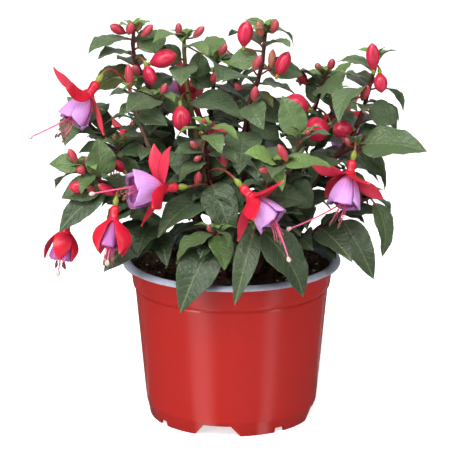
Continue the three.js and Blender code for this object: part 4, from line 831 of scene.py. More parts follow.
# One bloom's cup flares less than the others.
FLARED = {"left_top": 0.84}
# Painted shade: how near the lanterns' deep purple the petals of an open bloom are painted, for a bloom that
# hangs in shade among the leaves.
SHADED_PETALS = {"upper_back": 0.7}


def cup_size(opened):
    """How deep a bloom's cup of petals is, and how far it spreads to its lip, by how open the bloom is."""
    return 10.5 + 7 * opened, 9 * opened - 0.8


def petal_skins(spot, turn, opened, seed, flared, painted_shade_share):
    """The four petals: out = 2.2 + spread sin(0.54 pi share)^0.9, with a spiral layer across each petal,
    a lip that is rounded like an arch, and ripples that grow towards it."""
    depth, spread = cup_size(opened)
    across, face = two_faced(PETAL_ACROSS)
    share = np.linspace(-0.12, 1, PETAL_ROWS)[:, None]
    inside = np.maximum(share, 0)
    petal = np.arange(4)[:, None, None]
    wide = across * (0.80 + 0.2 * np.minimum(1, inside * 3))
    arc = wide * PETAL_SPAN / 2
    flare = THROAT + spread * flared * np.sin(np.pi * 0.54 * inside) ** 0.9
    layer = inside * arc / CUP_SPAN * PETAL_LAYER
    ripple = 0.55 * inside ** 4 * np.sin(7 * across + 2.1 * petal + seed)
    curl = 0.9 * inside ** 6 * (1 - across ** 2)
    out = flare + layer + ripple + curl + face * PETAL_THICK * (1 - 0.8 * across ** 6)
    lip = inside ** 2 * (PETAL_SCALLOP * (1 - np.abs(across) ** 2.4) - 0.5 * np.abs(across) ** 8)
    on = PETAL_START + share * depth + lip + 0.25 * inside ** 3 * np.sin(11 * across + seed + petal)
    rings = spot(out, on, np.radians(turn + 45 + 90 * petal + arc))
    grown = np.stack(np.broadcast_arrays(share[None] + 0 * out, across, seed + petal), -1)
    deep_or_shaded = 1.0 if opened < WIDE_OPEN else painted_shade_share
    look = np.stack(np.broadcast_arrays(0 * out, deep_or_shaded, np.where(face > 0, 0.0, 1.0), 0), -1)
    return skins(rings[:, 0].mean(1), rings, rings[:, -1].mean(1), grown, look, 0)


lavender, tree, shader = new_finish("lavender_petal", Roughness=0.5, Specular_IOR_Level=0.35,
                                    Subsurface_Weight=0.25, Subsurface_Scale=0.0015)
shader.inputs["Subsurface Radius"].default_value = (1.0, 0.6, 1.0)
place, worn = own_place(tree), own_look(tree)
cloud = mottled(tree, 150, 2.0)
fan = reckoned(tree, "MULTIPLY_ADD", place["Y"], 20.0, scaled(tree, cloud.outputs["Height"], 1.4))
veins = reckoned(tree, "COSINE", fan)
tint = blended(tree, cloud.outputs["Mask"], (0.56, 0.27, 0.68, 1), (0.68, 0.37, 0.78, 1))
# Painted shade in part: the cup's inner face is painted a deeper pinkish purple. That is partly the petals'
# own pinker inside and partly the shade deep in the cup.
tint = blended(tree, worn["Blue"], tint, (0.42, 0.12, 0.38, 1))
# Deep purple: the lanterns' own colour, and painted shade on the open bloom in SHADED_PETALS.
tint = blended(tree, scaled(tree, worn["Green"], 0.72), tint, (0.34, 0.05, 0.26, 1))
fade = ranged(tree, place["X"], 0.75, 0.2, 0.05, 0.75)
shown = scaled(tree, ranged(tree, veins, 0.55, 1), fade)
tint = blended(tree, shown, tint, (0.56, 0.06, 0.26, 1))
tint = blended(tree, ranged(tree, place["X"], 0.42, -0.05, 0, 0.8), tint, (0.60, 0.04, 0.18, 1))
tree.links.new(tint, shader.inputs["Base Color"])
bumped(tree, shader, veins, 0.12, 0.0002)
for name, (foot, axis, reflex, turn, opened, stem, where, style) in BLOOMS.items():
    four = petal_skins(spots[name], turn, opened, seed_of(name), FLARED.get(name, 1.0), SHADED_PETALS.get(name, 0.0))
    make_piece(f"petals_{name}", [four], [lavender], [f"corolla_{name}"])


# The stamens and the style
# Eight thin pink filaments with dark anthers hang out of the cup round one longer style.
# The style ends in a pale four-lobed knob, the stigma.
STAMENS = 8
SECTORS = STAMENS + 1
STAMEN_LENGTH = 9.0
STAMEN_STEP = 1.7
STAMEN_SPREAD = 1.8
# The stamens of two blooms have come only half-way out.
SHORT_STAMENS = {"left_mid": 0.45, "far_left": 0.5}
THREAD_STEPS = 22
# Radii along an anther and along the stigma's knob: (share of the length, radius).
ANTHER_PROFILE = [(0, 0.22), (0.2, 0.56), (0.6, 0.62), (0.9, 0.50), (1, 0.24)]
KNOB_PROFILE = [(0, 0.34), (0.25, 0.85), (0.6, 1.22), (0.85, 1.00), (1, 0.45)]
FILAMENT, ANTHER, STIGMA = range(3)


def swelling(profile, count):
    """Radii at even steps along a body, read from its profile on straight lines between its points."""
    return np.interp(np.linspace(0, 1, count), *np.array(profile).T)


def style_path(spot, opened, tip):
    """The control points of a style: the cup's mouth, a middle that bows on along the axis, and its tip."""
    mouth = spot([0.0], [PETAL_START + cup_size(opened)[0]])[0]
    tip = np.array(tip, float)
    return [mouth, (mouth + tip) / 2 + spot.axis * 0.06 * np.linalg.norm(tip - mouth), tip]


def threads(name):
    """The filaments with their anthers, which droop from the cup's mouth, then the style with its knob. Each
    is a Bezier curve from the mouth, set off from the axis in its own direction and rooted in the cup."""
    opened, style = BLOOMS[name][4], BLOOMS[name][7]
    spot = spots[name]
    depth, _ = cup_size(opened)
    mouth, bowed, tip = style_path(spot, opened, style)
    droop = unit(0.55 * spot.axis + 0.35 * unit(tip - mouth) - 0.30 * np.array(UP))
    t = np.linspace(0, 1, THREAD_STEPS)
    made = []
    for k in range(SECTORS):
        is_style = k == STAMENS
        turn = 2 * np.pi * (k + 0.5) / SECTORS
        away = spot.outward(np.array(turn))
        length = (0.5 + 0.5 * opened) * (STAMEN_LENGTH + STAMEN_STEP * ((3 * k) % 4))
        length *= SHORT_STAMENS.get(name, 1)
        offset = STAMEN_SPREAD * (1 - t) if is_style else STAMEN_SPREAD + t
        sway = 0.35 * np.sin(np.pi * t) * np.sin(2.4 * k)
        hung = [mouth, mouth + spot.axis * length * 0.45, mouth + droop * length]
        line = bezier([mouth, bowed, tip] if is_style else hung, t) + away * (offset + sway)[:, None]
        inside = spot(np.array([0.7, 1.0, 1.3]), PETAL_START + depth * np.array([-0.06, 0.08, 0.3]), turn)
        line, at, _ = evened(np.concatenate([inside, line]), 0.9, 1.4)
        share = at / at[-1]
        way = unit(line[-1] - line[-4])
        if is_style:
            made.append(tube(line, 0.42 + 0.12 * (1 - share), 8, FILAMENT, (0.2, 0, 0, 0)))
            knob = tip + way * np.linspace(-2.6, 0.9, 12)[:, None]
            made.append(tube(knob, swelling(KNOB_PROFILE, 12), 16, STIGMA, ribs=4, rib_depth=0.16))
        else:
            made.append(tube(line, 0.19 + 0.06 * (1 - share), 6, FILAMENT, (0.6, 0, 0, 0)))
            sac = line[-1] + unit(way + 0.25 * away * np.sin(5.0 * k)) * np.linspace(-0.5, 2.3, 9)[:, None]
            made.append(tube(sac, swelling(ANTHER_PROFILE, 9), 10, ANTHER, ribs=2, rib_depth=0.22, turn=k))
    return made


filament, tree, shader = new_finish("pink_filament", Roughness=0.42, Specular_IOR_Level=0.45,
                                    Subsurface_Weight=0.1, Subsurface_Scale=0.001)
tint = blended(tree, ranged(tree, own_place(tree)["X"], 0, 1), (0.62, 0.025, 0.10, 1), (0.78, 0.12, 0.27, 1))
tree.links.new(tint, shader.inputs["Base Color"])
anther, tree, shader = new_finish("dusty_anther", Roughness=0.8)
dust = mottled(tree, 1500, 4.0)
tint = blended(tree, dust.outputs["Mask"], (0.10, 0.018, 0.030, 1), (0.30, 0.15, 0.11, 1))
tree.links.new(tint, shader.inputs["Base Color"])
bumped(tree, shader, dust.outputs["Height"], 0.4, 0.0002)
stigma, tree, shader = new_finish("pale_stigma", Roughness=0.55)
dust = mottled(tree, 900, 2.0)
tint = blended(tree, dust.outputs["Mask"], (0.78, 0.36, 0.40, 1), (0.86, 0.62, 0.52, 1))
tree.links.new(tint, shader.inputs["Base Color"])
for name in BLOOMS:
    make_piece(f"threads_{name}", threads(name), [filament, anther, stigma], [f"stamens_{name}"])


# The buds
# Closed flowers in every size, from green-tipped beads to fat red lanterns with four seams where their sepals
# meet. Each hangs from or stands on its own thin stalk.
# Large buds: their stem, where the stalk leaves it, the foot of the bud, its tip, and its radius.
LARGE_BUDS = {
    "upper_left": ["upper_left", 7, [-50, 1, 212], [-46, -2, 201], 4],
    "fat_left": ["upper_left", 7.2, [-47, 4, 213], [-32, 1, 219], 5.4],
    "hanging_left": ["centre_left", 3.3, [-30, -8, 190], [-29, -11, 175], 5.4],
    "club": ["top_right", 6.6, [7, -3, 225], [9, -4, 240], 4.7],
    "top_right": ["top_right", 6, [27, -8, 209], [33, -10, 223], 4.2],
    "fat_centre": ["back_right", 3.7, [44, -5, 188], [31, -10, 194], 6],
    "wide": ["front", 4.9, [-16, -16, 176], [-3, -20, 178], 4.6],
    "side_centre": ["back_right", 3.4, [56, -6, 178], [43, -12, 174], 6.6],
    "side_right": ["right_side", 0.8, [70, -8, 176], [59, -14, 177], 4.7],
    "tall_right": ["right", 7.4, [82, -12, 213], [81, -14, 229], 4],
    "drop_right": ["right", 7, [86, -10, 210], [87, -13, 199], 4],
    "low_left": ["left", 4.4, [-84, -40, 150], [-94, -42, 150], 3.6],
    "long_left": ["left", 3.2, [-67, -38, 145], [-77, -43, 152], 2.8],
    "mid_left": ["left_up", 1.4, [-63, -20, 154], [-69, -26, 162], 2.9],
}
# Small buds, in the same way.
BUDS = [
    ["upper_left", 8.7, [-63, 5, 231], [-71, 2, 236], 2.9],
    ["upper_left", 8.9, [-60, 3, 231], [-58, 0, 238], 2.6],
    ["upper_left", 9, [-55, 8, 232], [-53, 10, 237], 2],
    ["upper_left", 8.8, [-52, 6, 229], [-46, 4, 236], 2.5],
    ["upper_left", 6.2, [-55, -1, 208], [-57, -6, 214], 2.2],
    ["tan", 4.7, [-59, -14, 203], [-60, -15, 217], 2.6],
    ["side_left", 1.9, [-41, -7, 197], [-38, -9, 204], 2.1],
    ["left_up", 2.9, [-68, 0, 167], [-69, -2, 172], 1.9],
    ["left_up", 3, [-64, 1, 167], [-63, -1, 172], 1.9],
    ["centre_left", 5.9, [-31, 12, 228], [-31, 10, 236], 2.1],
    ["centre_left", 5.8, [-22, 12, 227], [-16, 9, 234], 2.3],
    ["centre_left", 5.4, [-17, 8, 218], [-15, 5, 222], 1.8],
    ["centre", 4.8, [-7, 14, 216], [-3, 11, 223], 2.3], ["centre", 4.2, [-11, 12, 200], [-9, 8, 207], 2.6],
    ["top_right", 7.4, [17, -4, 231], [15, -6, 240], 2.7],
    ["top_right", 7.8, [24, -3, 233], [26, -6, 241], 2.4],
    ["top_right", 5.3, [13, -8, 212], [17, -10, 221], 2.4],
    ["top_right", 5.4, [23, -6, 213], [24, -8, 224], 2.3],
    ["top_right", 4.6, [13, -9, 194], [14, -12, 203], 2.5],
    ["top_right", 4.7, [5, -6, 200], [2, -9, 204], 2.2],
    ["back_right", 4.9, [52, 20, 206], [50, 18, 210], 2],
    ["back_right", 5, [58, 20, 206], [60, 17, 213], 2.3],
    ["back_right", 4.6, [44, 26, 196], [39, 26, 204], 3],
    ["right", 5.8, [76, -12, 195], [79, -14, 204], 2.6],
    ["right_mid", 2.9, [66, 1, 192], [65, -1, 197], 1.6],
    ["front", 5.4, [-20, -31, 171], [-24, -33, 175], 2],
    ["front", 5.2, [-18, -33, 166], [-22, -35, 164], 2],
    ["front", 3.9, [-20, -37, 150], [-19, -38, 159], 2.4],
    ["front", 4.6, [-4, -30, 160], [-5, -31, 169], 2.6],
    ["front", 5.9, [-16, -28, 184], [-16, -30, 188], 1.5],
    ["front_right", 3.9, [31, -58, 170], [26, -59, 180], 2.6],
    ["front_right", 3.8, [22, -62, 166], [15, -64, 166], 2.1],
    ["front_right_up", 2.9, [43, -36, 179], [44, -38, 183], 1.8],
    ["right_side", 1.9, [68, -22, 170], [66, -23, 175], 1.8],
    ["left", 5, [-90, -32, 163], [-94, -34, 171], 2.4],
    ["left", 4.9, [-86, -36, 158], [-88, -41, 161], 2.6],
    ["left", 4.6, [-83, -32, 160], [-84, -33, 166], 2],
    ["left", 3.9, [-80, -37, 147], [-83, -40, 149], 2.3],
    ["front_low", 3, [-12, -57, 128], [-14, -58, 132], 1.4],
    ["back_left", 4, [-60, 64, 190], [-63, 67, 198], 2.5],
    ["back_left", 4, [-54, 62, 191], [-50, 62, 199], 2.4],
    ["far_left", 4, [-92, 8, 183], [-95, 6, 189], 2.2],
    ["far_left", 3.6, [-84, 16, 181], [-83, 17, 189], 2.3], ["back", 4, [-1, 66, 200], [-4, 69, 208], 2.5],
    ["back", 4, [6, 63, 200], [10, 63, 208], 2.6], ["back_low", 2, [-14, 82, 134], [-17, 86, 140], 2.4],
    ["back_far_right", 4, [66, 62, 189], [68, 65, 197], 2.5],
    ["back_far_right", 3.7, [60, 58, 190], [57, 56, 198], 2.3],
    ["back_right_low", 2, [84, 44, 144], [90, 46, 149], 2.4],
    ["back_left_low", 2, [-80, 50, 143], [-86, 52, 148], 2.4],
]
# How much fatter some large buds are than their radius says.
PLUMP = {"fat_centre": 1.08, "side_centre": 1.12, "side_right": 1.14, "hanging_left": 1.04}
# How green some small buds are, by their place in the list, from 0.
GREENISH = {2: 0.9, 7: 0.8, 8: 0.8, 11: 0.35, 14: 0.3, 17: 0.4, 20: 0.3}
YOUNG_RADIUS = 3.2
BUD_BOW = 5.0
# From the foot to the tip: (share of the length, share of the radius).
BUD_PROFILE = [(0.0, 0.34), (0.05, 0.42), (0.12, 0.60), (0.20, 0.78), (0.30, 0.92), (0.42, 1.0), (0.54, 1.0),
               (0.66, 0.94), (0.77, 0.80), (0.86, 0.59), (0.93, 0.34), (0.985, 0.10)]
NECK_PROFILE = [(0, 0.62), (0.3, 1.15), (0.7, 1.25), (1, 1.0)]


def bud_skin(foot, tip, radius, rows, sides, seed, green=0.0, young=0.0):
    """A bud from foot to tip: a short tube that swells to a pointed belly, creased along four seams."""
    foot, tip = np.asarray(foot, float), np.asarray(tip, float)
    u, v = square_to(unit(tip - foot), (0.3, 0.9, 0.2))
    t = np.linspace(0, 0.985, rows)[:, None]
    a = np.linspace(0, 2 * np.pi, sides, endpoint=False)
    seam = np.abs((a / (np.pi / 2) + seed) % 1 - 0.5)
    crease = 1 - 0.12 * np.exp(-((0.5 - seam) / 0.06) ** 2) * np.clip((t - 0.2) * 4, 0, 1)
    crease = crease - 0.025 * np.cos(seam * 4 * np.pi) ** 2 * np.sin(np.pi * t)
    stops, sizes = np.array(BUD_PROFILE).T
    r = radius * np.interp(t, stops, sizes) * crease * (1 + 0.035 * np.cos(a - seed))
    ring = foot + (tip - foot) * t[..., None]
    ring = ring + u * (r * np.cos(a))[..., None] + v * (r * np.sin(a))[..., None]
    grown = np.stack(np.broadcast_arrays(t, seam, seed), -1)
    look = np.stack(np.broadcast_arrays(seed % 1 + 0 * r, green, young, 0), -1)
    return skins(foot[None], ring[None], tip[None], grown[None], look[None], 0)


bud_wax, tree, shader = new_finish("bud_skin", Roughness=0.34, Specular_IOR_Level=0.5,
                                   Subsurface_Weight=0.15, Subsurface_Scale=0.002)
shader.inputs["Subsurface Radius"].default_value = (1.0, 0.25, 0.2)
place, worn = own_place(tree), own_look(tree)
wax = mottled(tree, 200, 2.5)
tint = blended(tree, wax.outputs["Mask"], (0.62, 0.018, 0.070, 1), (0.42, 0.009, 0.034, 1))
tint = blended(tree, scaled(tree, worn["Blue"], 0.8), tint, (0.40, 0.085, 0.095, 1))
wander = scaled(tree, wax.outputs["Mask"], 2.2)
streaks = reckoned(tree, "SINE", reckoned(tree, "MULTIPLY_ADD", place["Y"], 62.0, wander))
tint = blended(tree, ranged(tree, streaks, 0.3, 1, 0, 0.4), tint, (0.32, 0.005, 0.018, 1))
tint = blended(tree, ranged(tree, streaks, -0.5, -1, 0, 0.3), tint, (0.80, 0.10, 0.17, 1))
tint = blended(tree, ranged(tree, place["Y"], 0.43, 0.5, 0, 0.8), tint, (0.20, 0.004, 0.012, 1))
tint = blended(tree, ranged(tree, place["X"], 0.86, 1, 0, 0.4), tint, (0.40, 0.17, 0.05, 1))
base = scaled(tree, worn["Blue"], ranged(tree, place["X"], 0.34, 0.04, 0, 0.8))
tint = blended(tree, base, tint, (0.30, 0.25, 0.09, 1))
tint = blended(tree, worn["Green"], tint, (0.30, 0.26, 0.10, 1))
tree.links.new(tint, shader.inputs["Base Color"])
bumped(tree, shader, wax.outputs["Height"], 0.06, 0.0003)

for number, (name, (stem, where, foot, tip, radius)) in enumerate(LARGE_BUDS.items()):
    way = unit(np.array(tip, float) - foot)
    line = bezier(stalk(stem, where, foot, way, BUD_BOW), np.linspace(0, 1, 18))
    shoot = shoots[STEMS[stem][0]]
    shoot.append(tube(line, np.full(len(line), 0.60), 8, RED_SKIN, (0.3, 0, 0, 0)))
    neck = np.array(foot, float) + way * np.linspace(-3.2, 0.5, 9)[:, None]
    shoot.append(tube(neck, swelling(NECK_PROFILE, 9), 10, GREEN_SKIN))
    skin = bud_skin(foot, tip, radius * PLUMP.get(name, 1), 26, 36, number * 0.61)
    make_piece(f"closed_bud_{name}", [skin], [bud_wax], [f"bud_{name}"])
small_buds = {}
for number, (stem, where, foot, tip, radius) in enumerate(BUDS):
    start, way = root_on(stem, where, foot), unit(np.array(tip, float) - foot)
    line = bezier([start, (start + foot) / 2, np.array(foot, float) - 1.5 * way, foot], np.linspace(0, 1, 9))
    shoot = STEMS[stem][0]
    shoots[shoot].append(tube(line, np.full(len(line), 0.56), 7, RED_SKIN, (0.3, 0, 0, 0)))
    green, young = GREENISH.get(number, 0.0), float(np.clip(YOUNG_RADIUS - radius, 0, 1))
    skin = bud_skin(np.array(foot, float) - 0.6 * way, tip, radius, 15, 20, number * 0.83, green, young)
    small_buds.setdefault(shoot, []).append(skin)
for shoot, parts in small_buds.items():
    make_piece(f"young_buds_{shoot}", parts, [bud_wax])


# The leaves
# Soft ovate leaves with drawn-out tips, dark green above with a greyish bloom and a paler midrib.
# They grow on short reddish stalks, and are thin, gently folded, arched and finely toothed.
FRONT = (0, -0.8, 0.6)
# Leaves listed for each stem: where, tip, half width, which way the upper side faces, arch.
LEAVES = {
    "front_low": [
        [2.7, [-31, -66, 114], 9], [2.2, [-33, -77, 90], 12, FRONT], [3, [-9, -73, 111], 7.5, FRONT],
        [3, [-14, -74, 118], 4, FRONT]],
    "front": [
        [3.6, [-34, -36, 158], 11, FRONT], [5.6, [-32, -37, 179], 4, UP, 0.2],
        [5.6, [4, -38, 178], 5, UP, 0.22], [4.5, [-5, -37, 172], 3.5],
        [2, [-44, -55, 132], 11, [0, -0.4, 0.9]], [1.5, [-38, -36, 128], 9],
        [3, [1, -48, 121], 10.5, FRONT]],
    "front_right_low": [
        [1.6, [3, -78, 90], 7, FRONT], [1.9, [31, -80, 92], 12.5, FRONT],
        [1.7, [28, -73, 113], 5, FRONT]],
    "front_right": [
        [4, [7, -66, 176], 7, [0, -0.5, 0.9]], [4, [53, -68, 171], 7, [0, -0.5, 0.9]],
        [3.8, [28, -67, 154], 4, FRONT], [1.2, [40, -51, 125], 8], [2, [41, -49, 143], 8, FRONT],
        [2.4, [2, -40, 148], 7]],
    "front_right_up": [
        [3, [28, -30, 201], 8.5, FRONT, 0.06], [1, [46, -40, 137], 9, FRONT], [2.4, [54, -40, 186], 6]],
    "low_right": [
        [5, [93, -39, 110], 10, [0.5, -0.6, 0.6], 0.2], [5, [93, -8, 125], 5],
        [2.8, [83, -42, 95], 12, FRONT], [2, [69, -61, 109], 9, FRONT], [1.4, [54, -53, 113], 9, FRONT]],
    "left": [
        [4.1, [-78, -24, 175], 9.5, [0, -0.95, 0.2], 0.1], [5, [-105, -34, 164], 6.5, FRONT],
        [4.6, [-101, -36, 149], 6.5], [3.6, [-95, -50, 122], 9.5, FRONT],
        [1.6, [-73, -53, 103], 11, FRONT], [1.8, [-60, -48, 130], 10, FRONT],
        [1.3, [-38, -46, 104], 7, FRONT]],
    "left_up": [
        [2.3, [-52, -9, 161], 8.5, [0, -0.4, 0.9]], [1, [-71, -21, 160], 6.5], [1.1, [-69, -27, 151], 6],
        [2, [-84, 8, 156], 8]],
    "right_side": [
        [1.9, [113.4, -30, 166.4], 12, [0, -0.6, 0.8]], [1.6, [91, -7, 140], 6]],
    "right": [
        [6.9, [62, 5, 214], 7], [6.3, [64, -8, 208], 7], [5.9, [85, -33, 180], 9.5, FRONT, 0.3],
        [6, [101, 5, 184], 6, UP, 0.25], [5.4, [100, 20, 172], 4.5], [4.4, [98, 14, 169], 9, UP, 0.2],
        [5.9, [78, 26, 196], 8]],
    "side_left": [
        [1.9, [-32, -12, 193], 5.5, UP, 0.25], [1.6, [-65, -26, 189], 9.5, [0, -0.4, 0.9]],
        [1.2, [-24, -6, 184], 7, FRONT]],
    "tan": [
        [2.6, [-74, -16, 182], 6, UP, 0.28], [3.6, [-36, -14, 184], 6.5, FRONT],
        [1.2, [-52, -24, 158], 8]],
    "upper_left": [
        [6.2, [-84, 10, 192], 11, [0, -0.4, 0.9]], [8.2, [-84, -8, 228], 9], [7.3, [-78, -6, 217], 8],
        [8, [-44, 24, 220], 7], [6.4, [-66, 30, 210], 9], [5, [-34, 26, 196], 9],
        [3.4, [-62, 26, 176], 10]],
    "centre_left": [
        [5.6, [-45, -6, 231], 6, UP, 0.2], [5.2, [-14, -4, 217], 7], [4.3, [-42, -4, 208], 8.5],
        [3, [0, -15, 186], 11, [0, -0.5, 0.9]], [2.4, [-52, -2, 174], 9]],
    "centre": [
        [4.6, [-25, -4, 196], 10, FRONT], [4.9, [7, 14, 213], 8], [3.6, [10, 14, 181], 8],
        [4.9, [-12, 42, 216], 7]],
    "top_right": [
        [6.8, [-13, 12, 226], 7], [6.2, [-1, -8, 213], 7, FRONT, 0.1], [7.6, [1, 6, 237], 4.5],
        [7.7, [36, 6, 223], 5, UP, 0.28], [6.9, [41, -6, 220], 7.5], [4.9, [-11, -8, 200], 8, UP, 0.2],
        [5, [34, -12, 195], 9, UP, 0.08], [5, [42, 8, 188], 8], [4.6, [25, -13, 195], 4],
        [4, [21, -22, 180], 8, FRONT], [3.2, [33, 10, 166], 9], [3, [4, -31, 155], 11, FRONT],
        [2.4, [18, -29, 150], 9, FRONT]],
    "back_right": [
        [3.2, [69, 0, 182], 10, [0, -0.5, 0.9]], [3.2, [38, -3, 184], 8, FRONT],
        [4.2, [66, 2, 195], 11, FRONT], [4.2, [36, 18, 197], 8], [4.6, [66, 30, 191], 6],
        [4.8, [67, 20, 202], 4.5], [4, [52, 56, 196], 9]],
    "right_mid": [
        [2.9, [57, 1, 194], 4], [2.9, [77, -2, 192], 5], [2, [74, -16, 182], 6]],
}
# Leaves that are drawn narrower, for they curl up at their sides: their tips and by how much.
NARROWED = {(83, -42, 95): 0.72, (93, -39, 110): 0.66, (-95, -50, 122): 0.82}
# How bright the youngest leaves are on some stems, and on the others.
BRIGHT_TIPS = {"front_right": 1.0, "centre_left": 0.9, "front": 0.9, "top_right": 0.8, "right": 0.6,
               "side_left": 0.5, "front_low": 0.4}
USUAL_TIP = 0.35
# Leaves in crossed pairs: the stem, first and last place, pairs, lengths at bottom and top, first heading.
PAIRS = [
    ["back_left", 1.1, 3.8, 5, 40, 22, 120], ["back_left_low", 0.9, 1.8, 2, 38, 28, 200],
    ["far_left", 1.2, 3.8, 4, 32, 18, 60], ["back", 1.0, 3.8, 5, 40, 22, 80],
    ["back_low", 0.9, 1.8, 2, 38, 28, 20], ["back_far_right", 1.2, 3.8, 5, 40, 22, 40],
    ["back_right_low", 0.9, 1.8, 2, 38, 28, 320], ["centre", 1.2, 3.0, 2, 38, 30, 100],
    ["back_right", 1.2, 2.6, 2, 38, 32, 60], ["upper_left", 1.3, 2.6, 2, 38, 34, 150],
    ["right", 1.3, 3.4, 2, 36, 30, 300], ["left", 1.0, 3.2, 2, 34, 26, 160],
    ["low_right", 1.2, 4.2, 2, 34, 24, 20],
]
# How far a leaf may be bent to clear its neighbours, turn and lift in degrees: the first that does is taken.
BENDS = [
    [0, 0], [8, 0], [-8, 0], [0, 8], [0, -8], [14, 6], [-14, 6], [14, -8], [-14, -8], [0, 16], [0, -16],
    [22, 0], [-22, 0], [22, 12], [-22, 12], [22, -12], [-22, -12], [0, 26], [34, 0], [-34, 0], [34, 16],
    [-34, 16], [34, -14], [-34, -14], [48, 8], [-48, 8],
]
BLADE_ARCH = 0.14
BLADE_FOLD = 0.3
BLADE_THICK = 0.16
PETIOLE = 0.1
# A blade's factor and power for its outline: as it is placed, and as it is seen, fuller towards its tip.
PLACED_OUTLINE = (2.75, 1.15)
SEEN_OUTLINE = (2.55, 0.95)
# Room that leaves keep: round their own points, round the sepals, near their own shoot, and over the pot.
SAMPLE_REACH = 1.7
SEPAL_REACH = 2.4
SOLID_SEPAL = 4.1
OWN_NODE_SHARE = 0.7
OWN_NODE_START = 7.0
POT_INSIDE = 55.0
LIP_RADIUS = 65.0
POT_HEIGHT = 96.6
SOIL_ROOM = 4.0
LIP_ROOM = 2.5
RIM_ROOM = 2.0
PLANT_LOW = np.array([-114, -90, 80])
PLANT_HIGH = np.array([111, 91, 239])
BLADE_ROWS = 28
BLADE_ACROSS = 11
SMALL_ROWS = 16
SMALL_ACROSS = 7
# Filler leaves: one for each step of a stem, and they thin out below and above these heights.
FILL_STEP = 2.4
FILL_LOW = 118
FILL_HIGH = 150
FADE_BELOW = 45
FADE_ABOVE = 40
MOST_POINTS = 60000
taken = {"points": np.zeros((MOST_POINTS, 3)), "reach": np.zeros(MOST_POINTS),
         "owner": np.zeros(MOST_POINTS, int), "count": 0}
owners = {}


def keep_clear(points, reach, owner):
    """Notes points that leaves must keep clear of, with their reach and what they belong to."""
    points = np.atleast_2d(np.asarray(points, float))
    row = slice(taken["count"], taken["count"] + len(points))
    taken["points"][row] = points
    taken["reach"][row] = reach
    taken["owner"][row] = owners.setdefault(owner, len(owners))
    taken["count"] = row.stop


def keep_rod_clear(centres, radius, owner):
    """Notes the points that stand for a rod through its centres."""
    for a, b in zip(centres, centres[1:]):
        a, b = np.asarray(a, float), np.asarray(b, float)
        steps = max(1, int(np.linalg.norm(b - a) / 3 + 0.5))
        keep_clear(a + (b - a) * np.linspace(0, 1, steps + 1)[:, None], radius, owner)


def outline(u, shape):
    """Half width of a blade as a share of its widest, at q of the way past its stalk: a sqrt(q) (1 - q)^b.
    It is rounded near the base and drawn out to a point."""
    a, b = shape
    q = np.maximum(0, (u - PETIOLE) / (1 - PETIOLE))
    return a * np.sqrt(q) * np.maximum(0, 1 - q) ** b


def wavering(u, v):
    """How far a blade's fold wavers from its base to its tip, out of step on its two halves."""
    return 0.12 * np.sin(9 * u + np.where(v > 0, 1.5, 0))


def blade_points(base, chord, up, side, u, v, width, arch):
    """Points of a blade, u from base to tip and v across: arched along, and folded up from the midrib."""
    half = width * outline(u, PLACED_OUTLINE)
    lift = 4 * arch * np.linalg.norm(chord) * u * (1 - u) + half * np.abs(v) * (BLADE_FOLD + wavering(u, v))
    return base + chord * u[..., None] + up * lift[..., None] + side * (half * v)[..., None]


def spun_about_z(vector, turn):
    """A vector turned about the vertical by degrees."""
    c, s = np.cos(np.radians(turn)), np.sin(np.radians(turn))
    return np.array([vector[0] * c - vector[1] * s, vector[0] * s + vector[1] * c, vector[2]])


def way_at(turn, rise):
    """The unit vector at an angle round the vertical and a rise above the level, both in radians."""
    return np.array([np.cos(turn) * np.cos(rise), np.sin(turn) * np.cos(rise), np.sin(rise)])


SAMPLE_GRID = np.meshgrid(0.2 + 0.1 * np.arange(9), 0.46 * np.arange(-2, 3), indexing="ij")
SAMPLE_U, SAMPLE_V = (a.ravel() for a in SAMPLE_GRID)


def grow_leaf(owner, base, tip, width, face, arch, bends, tightness=1.0):
    """A leaf bent clear of what is there: its base, chord, up, side, width and arch, or None without room."""
    count = taken["count"]
    points, reach = taken["points"][:count], taken["reach"][:count]
    own = taken["owner"][:count] == owners.setdefault(owner, len(owners))
    span = np.linalg.norm(np.asarray(tip, float) - base) * 1.1 + width + 14
    close = ((points - base) ** 2).sum(1) < (span + reach) ** 2
    points, reach, own = points[close], reach[close], own[close]
    for turn, lift in bends:
        chord = spun_about_z(np.asarray(tip, float) - base, turn)
        flat, length = np.hypot(chord[0], chord[1]), np.linalg.norm(chord)
        raised = np.clip(np.arctan2(chord[2], flat) + np.radians(lift), -1.45, 1.45)
        scale = length * np.cos(raised) / max(flat, 0.001)
        chord = np.array([chord[0] * scale, chord[1] * scale, length * np.sin(raised)])
        up, _ = square_to(unit(chord), spun_about_z(face, turn))
        side = np.cross(unit(chord), up)
        samples = blade_points(base, chord, up, side, SAMPLE_U, SAMPLE_V, width, arch)
        centre = blade_points(base, chord, up, side, np.array([0.5]), np.array([0.0]), width, arch)[0]
        size = length * 0.5 + width + 8
        near = ((points - centre) ** 2).sum(1) < (size + reach) ** 2
        near &= ~own | (np.linalg.norm(points - base, axis=1) > OWN_NODE_START)
        room = (reach[near] + SAMPLE_REACH * tightness) * np.where(own[near], OWN_NODE_SHARE, 1) * tightness
        gaps = np.linalg.norm(samples[:, None] - points[near], axis=-1)
        # Inside the pot a leaf keeps above the soil, and over the lip it keeps above the rim.
        r = np.hypot(samples[:, 0], samples[:, 1])
        height = samples[:, 2]
        over = (r >= POT_INSIDE) | (height > SOIL_TOP + SOIL_ROOM)
        over &= (r < POT_INSIDE) | (r >= LIP_RADIUS + LIP_ROOM) | (height > POT_HEIGHT + RIM_ROOM)
        boxed = tightness == 1 or bool(((samples > PLANT_LOW) & (samples < PLANT_HIGH)).all())
        if boxed and over.all() and (gaps > room).all():
            keep_clear(samples, SAMPLE_REACH, owner)
            return base, chord, up, side, width, arch
    return None


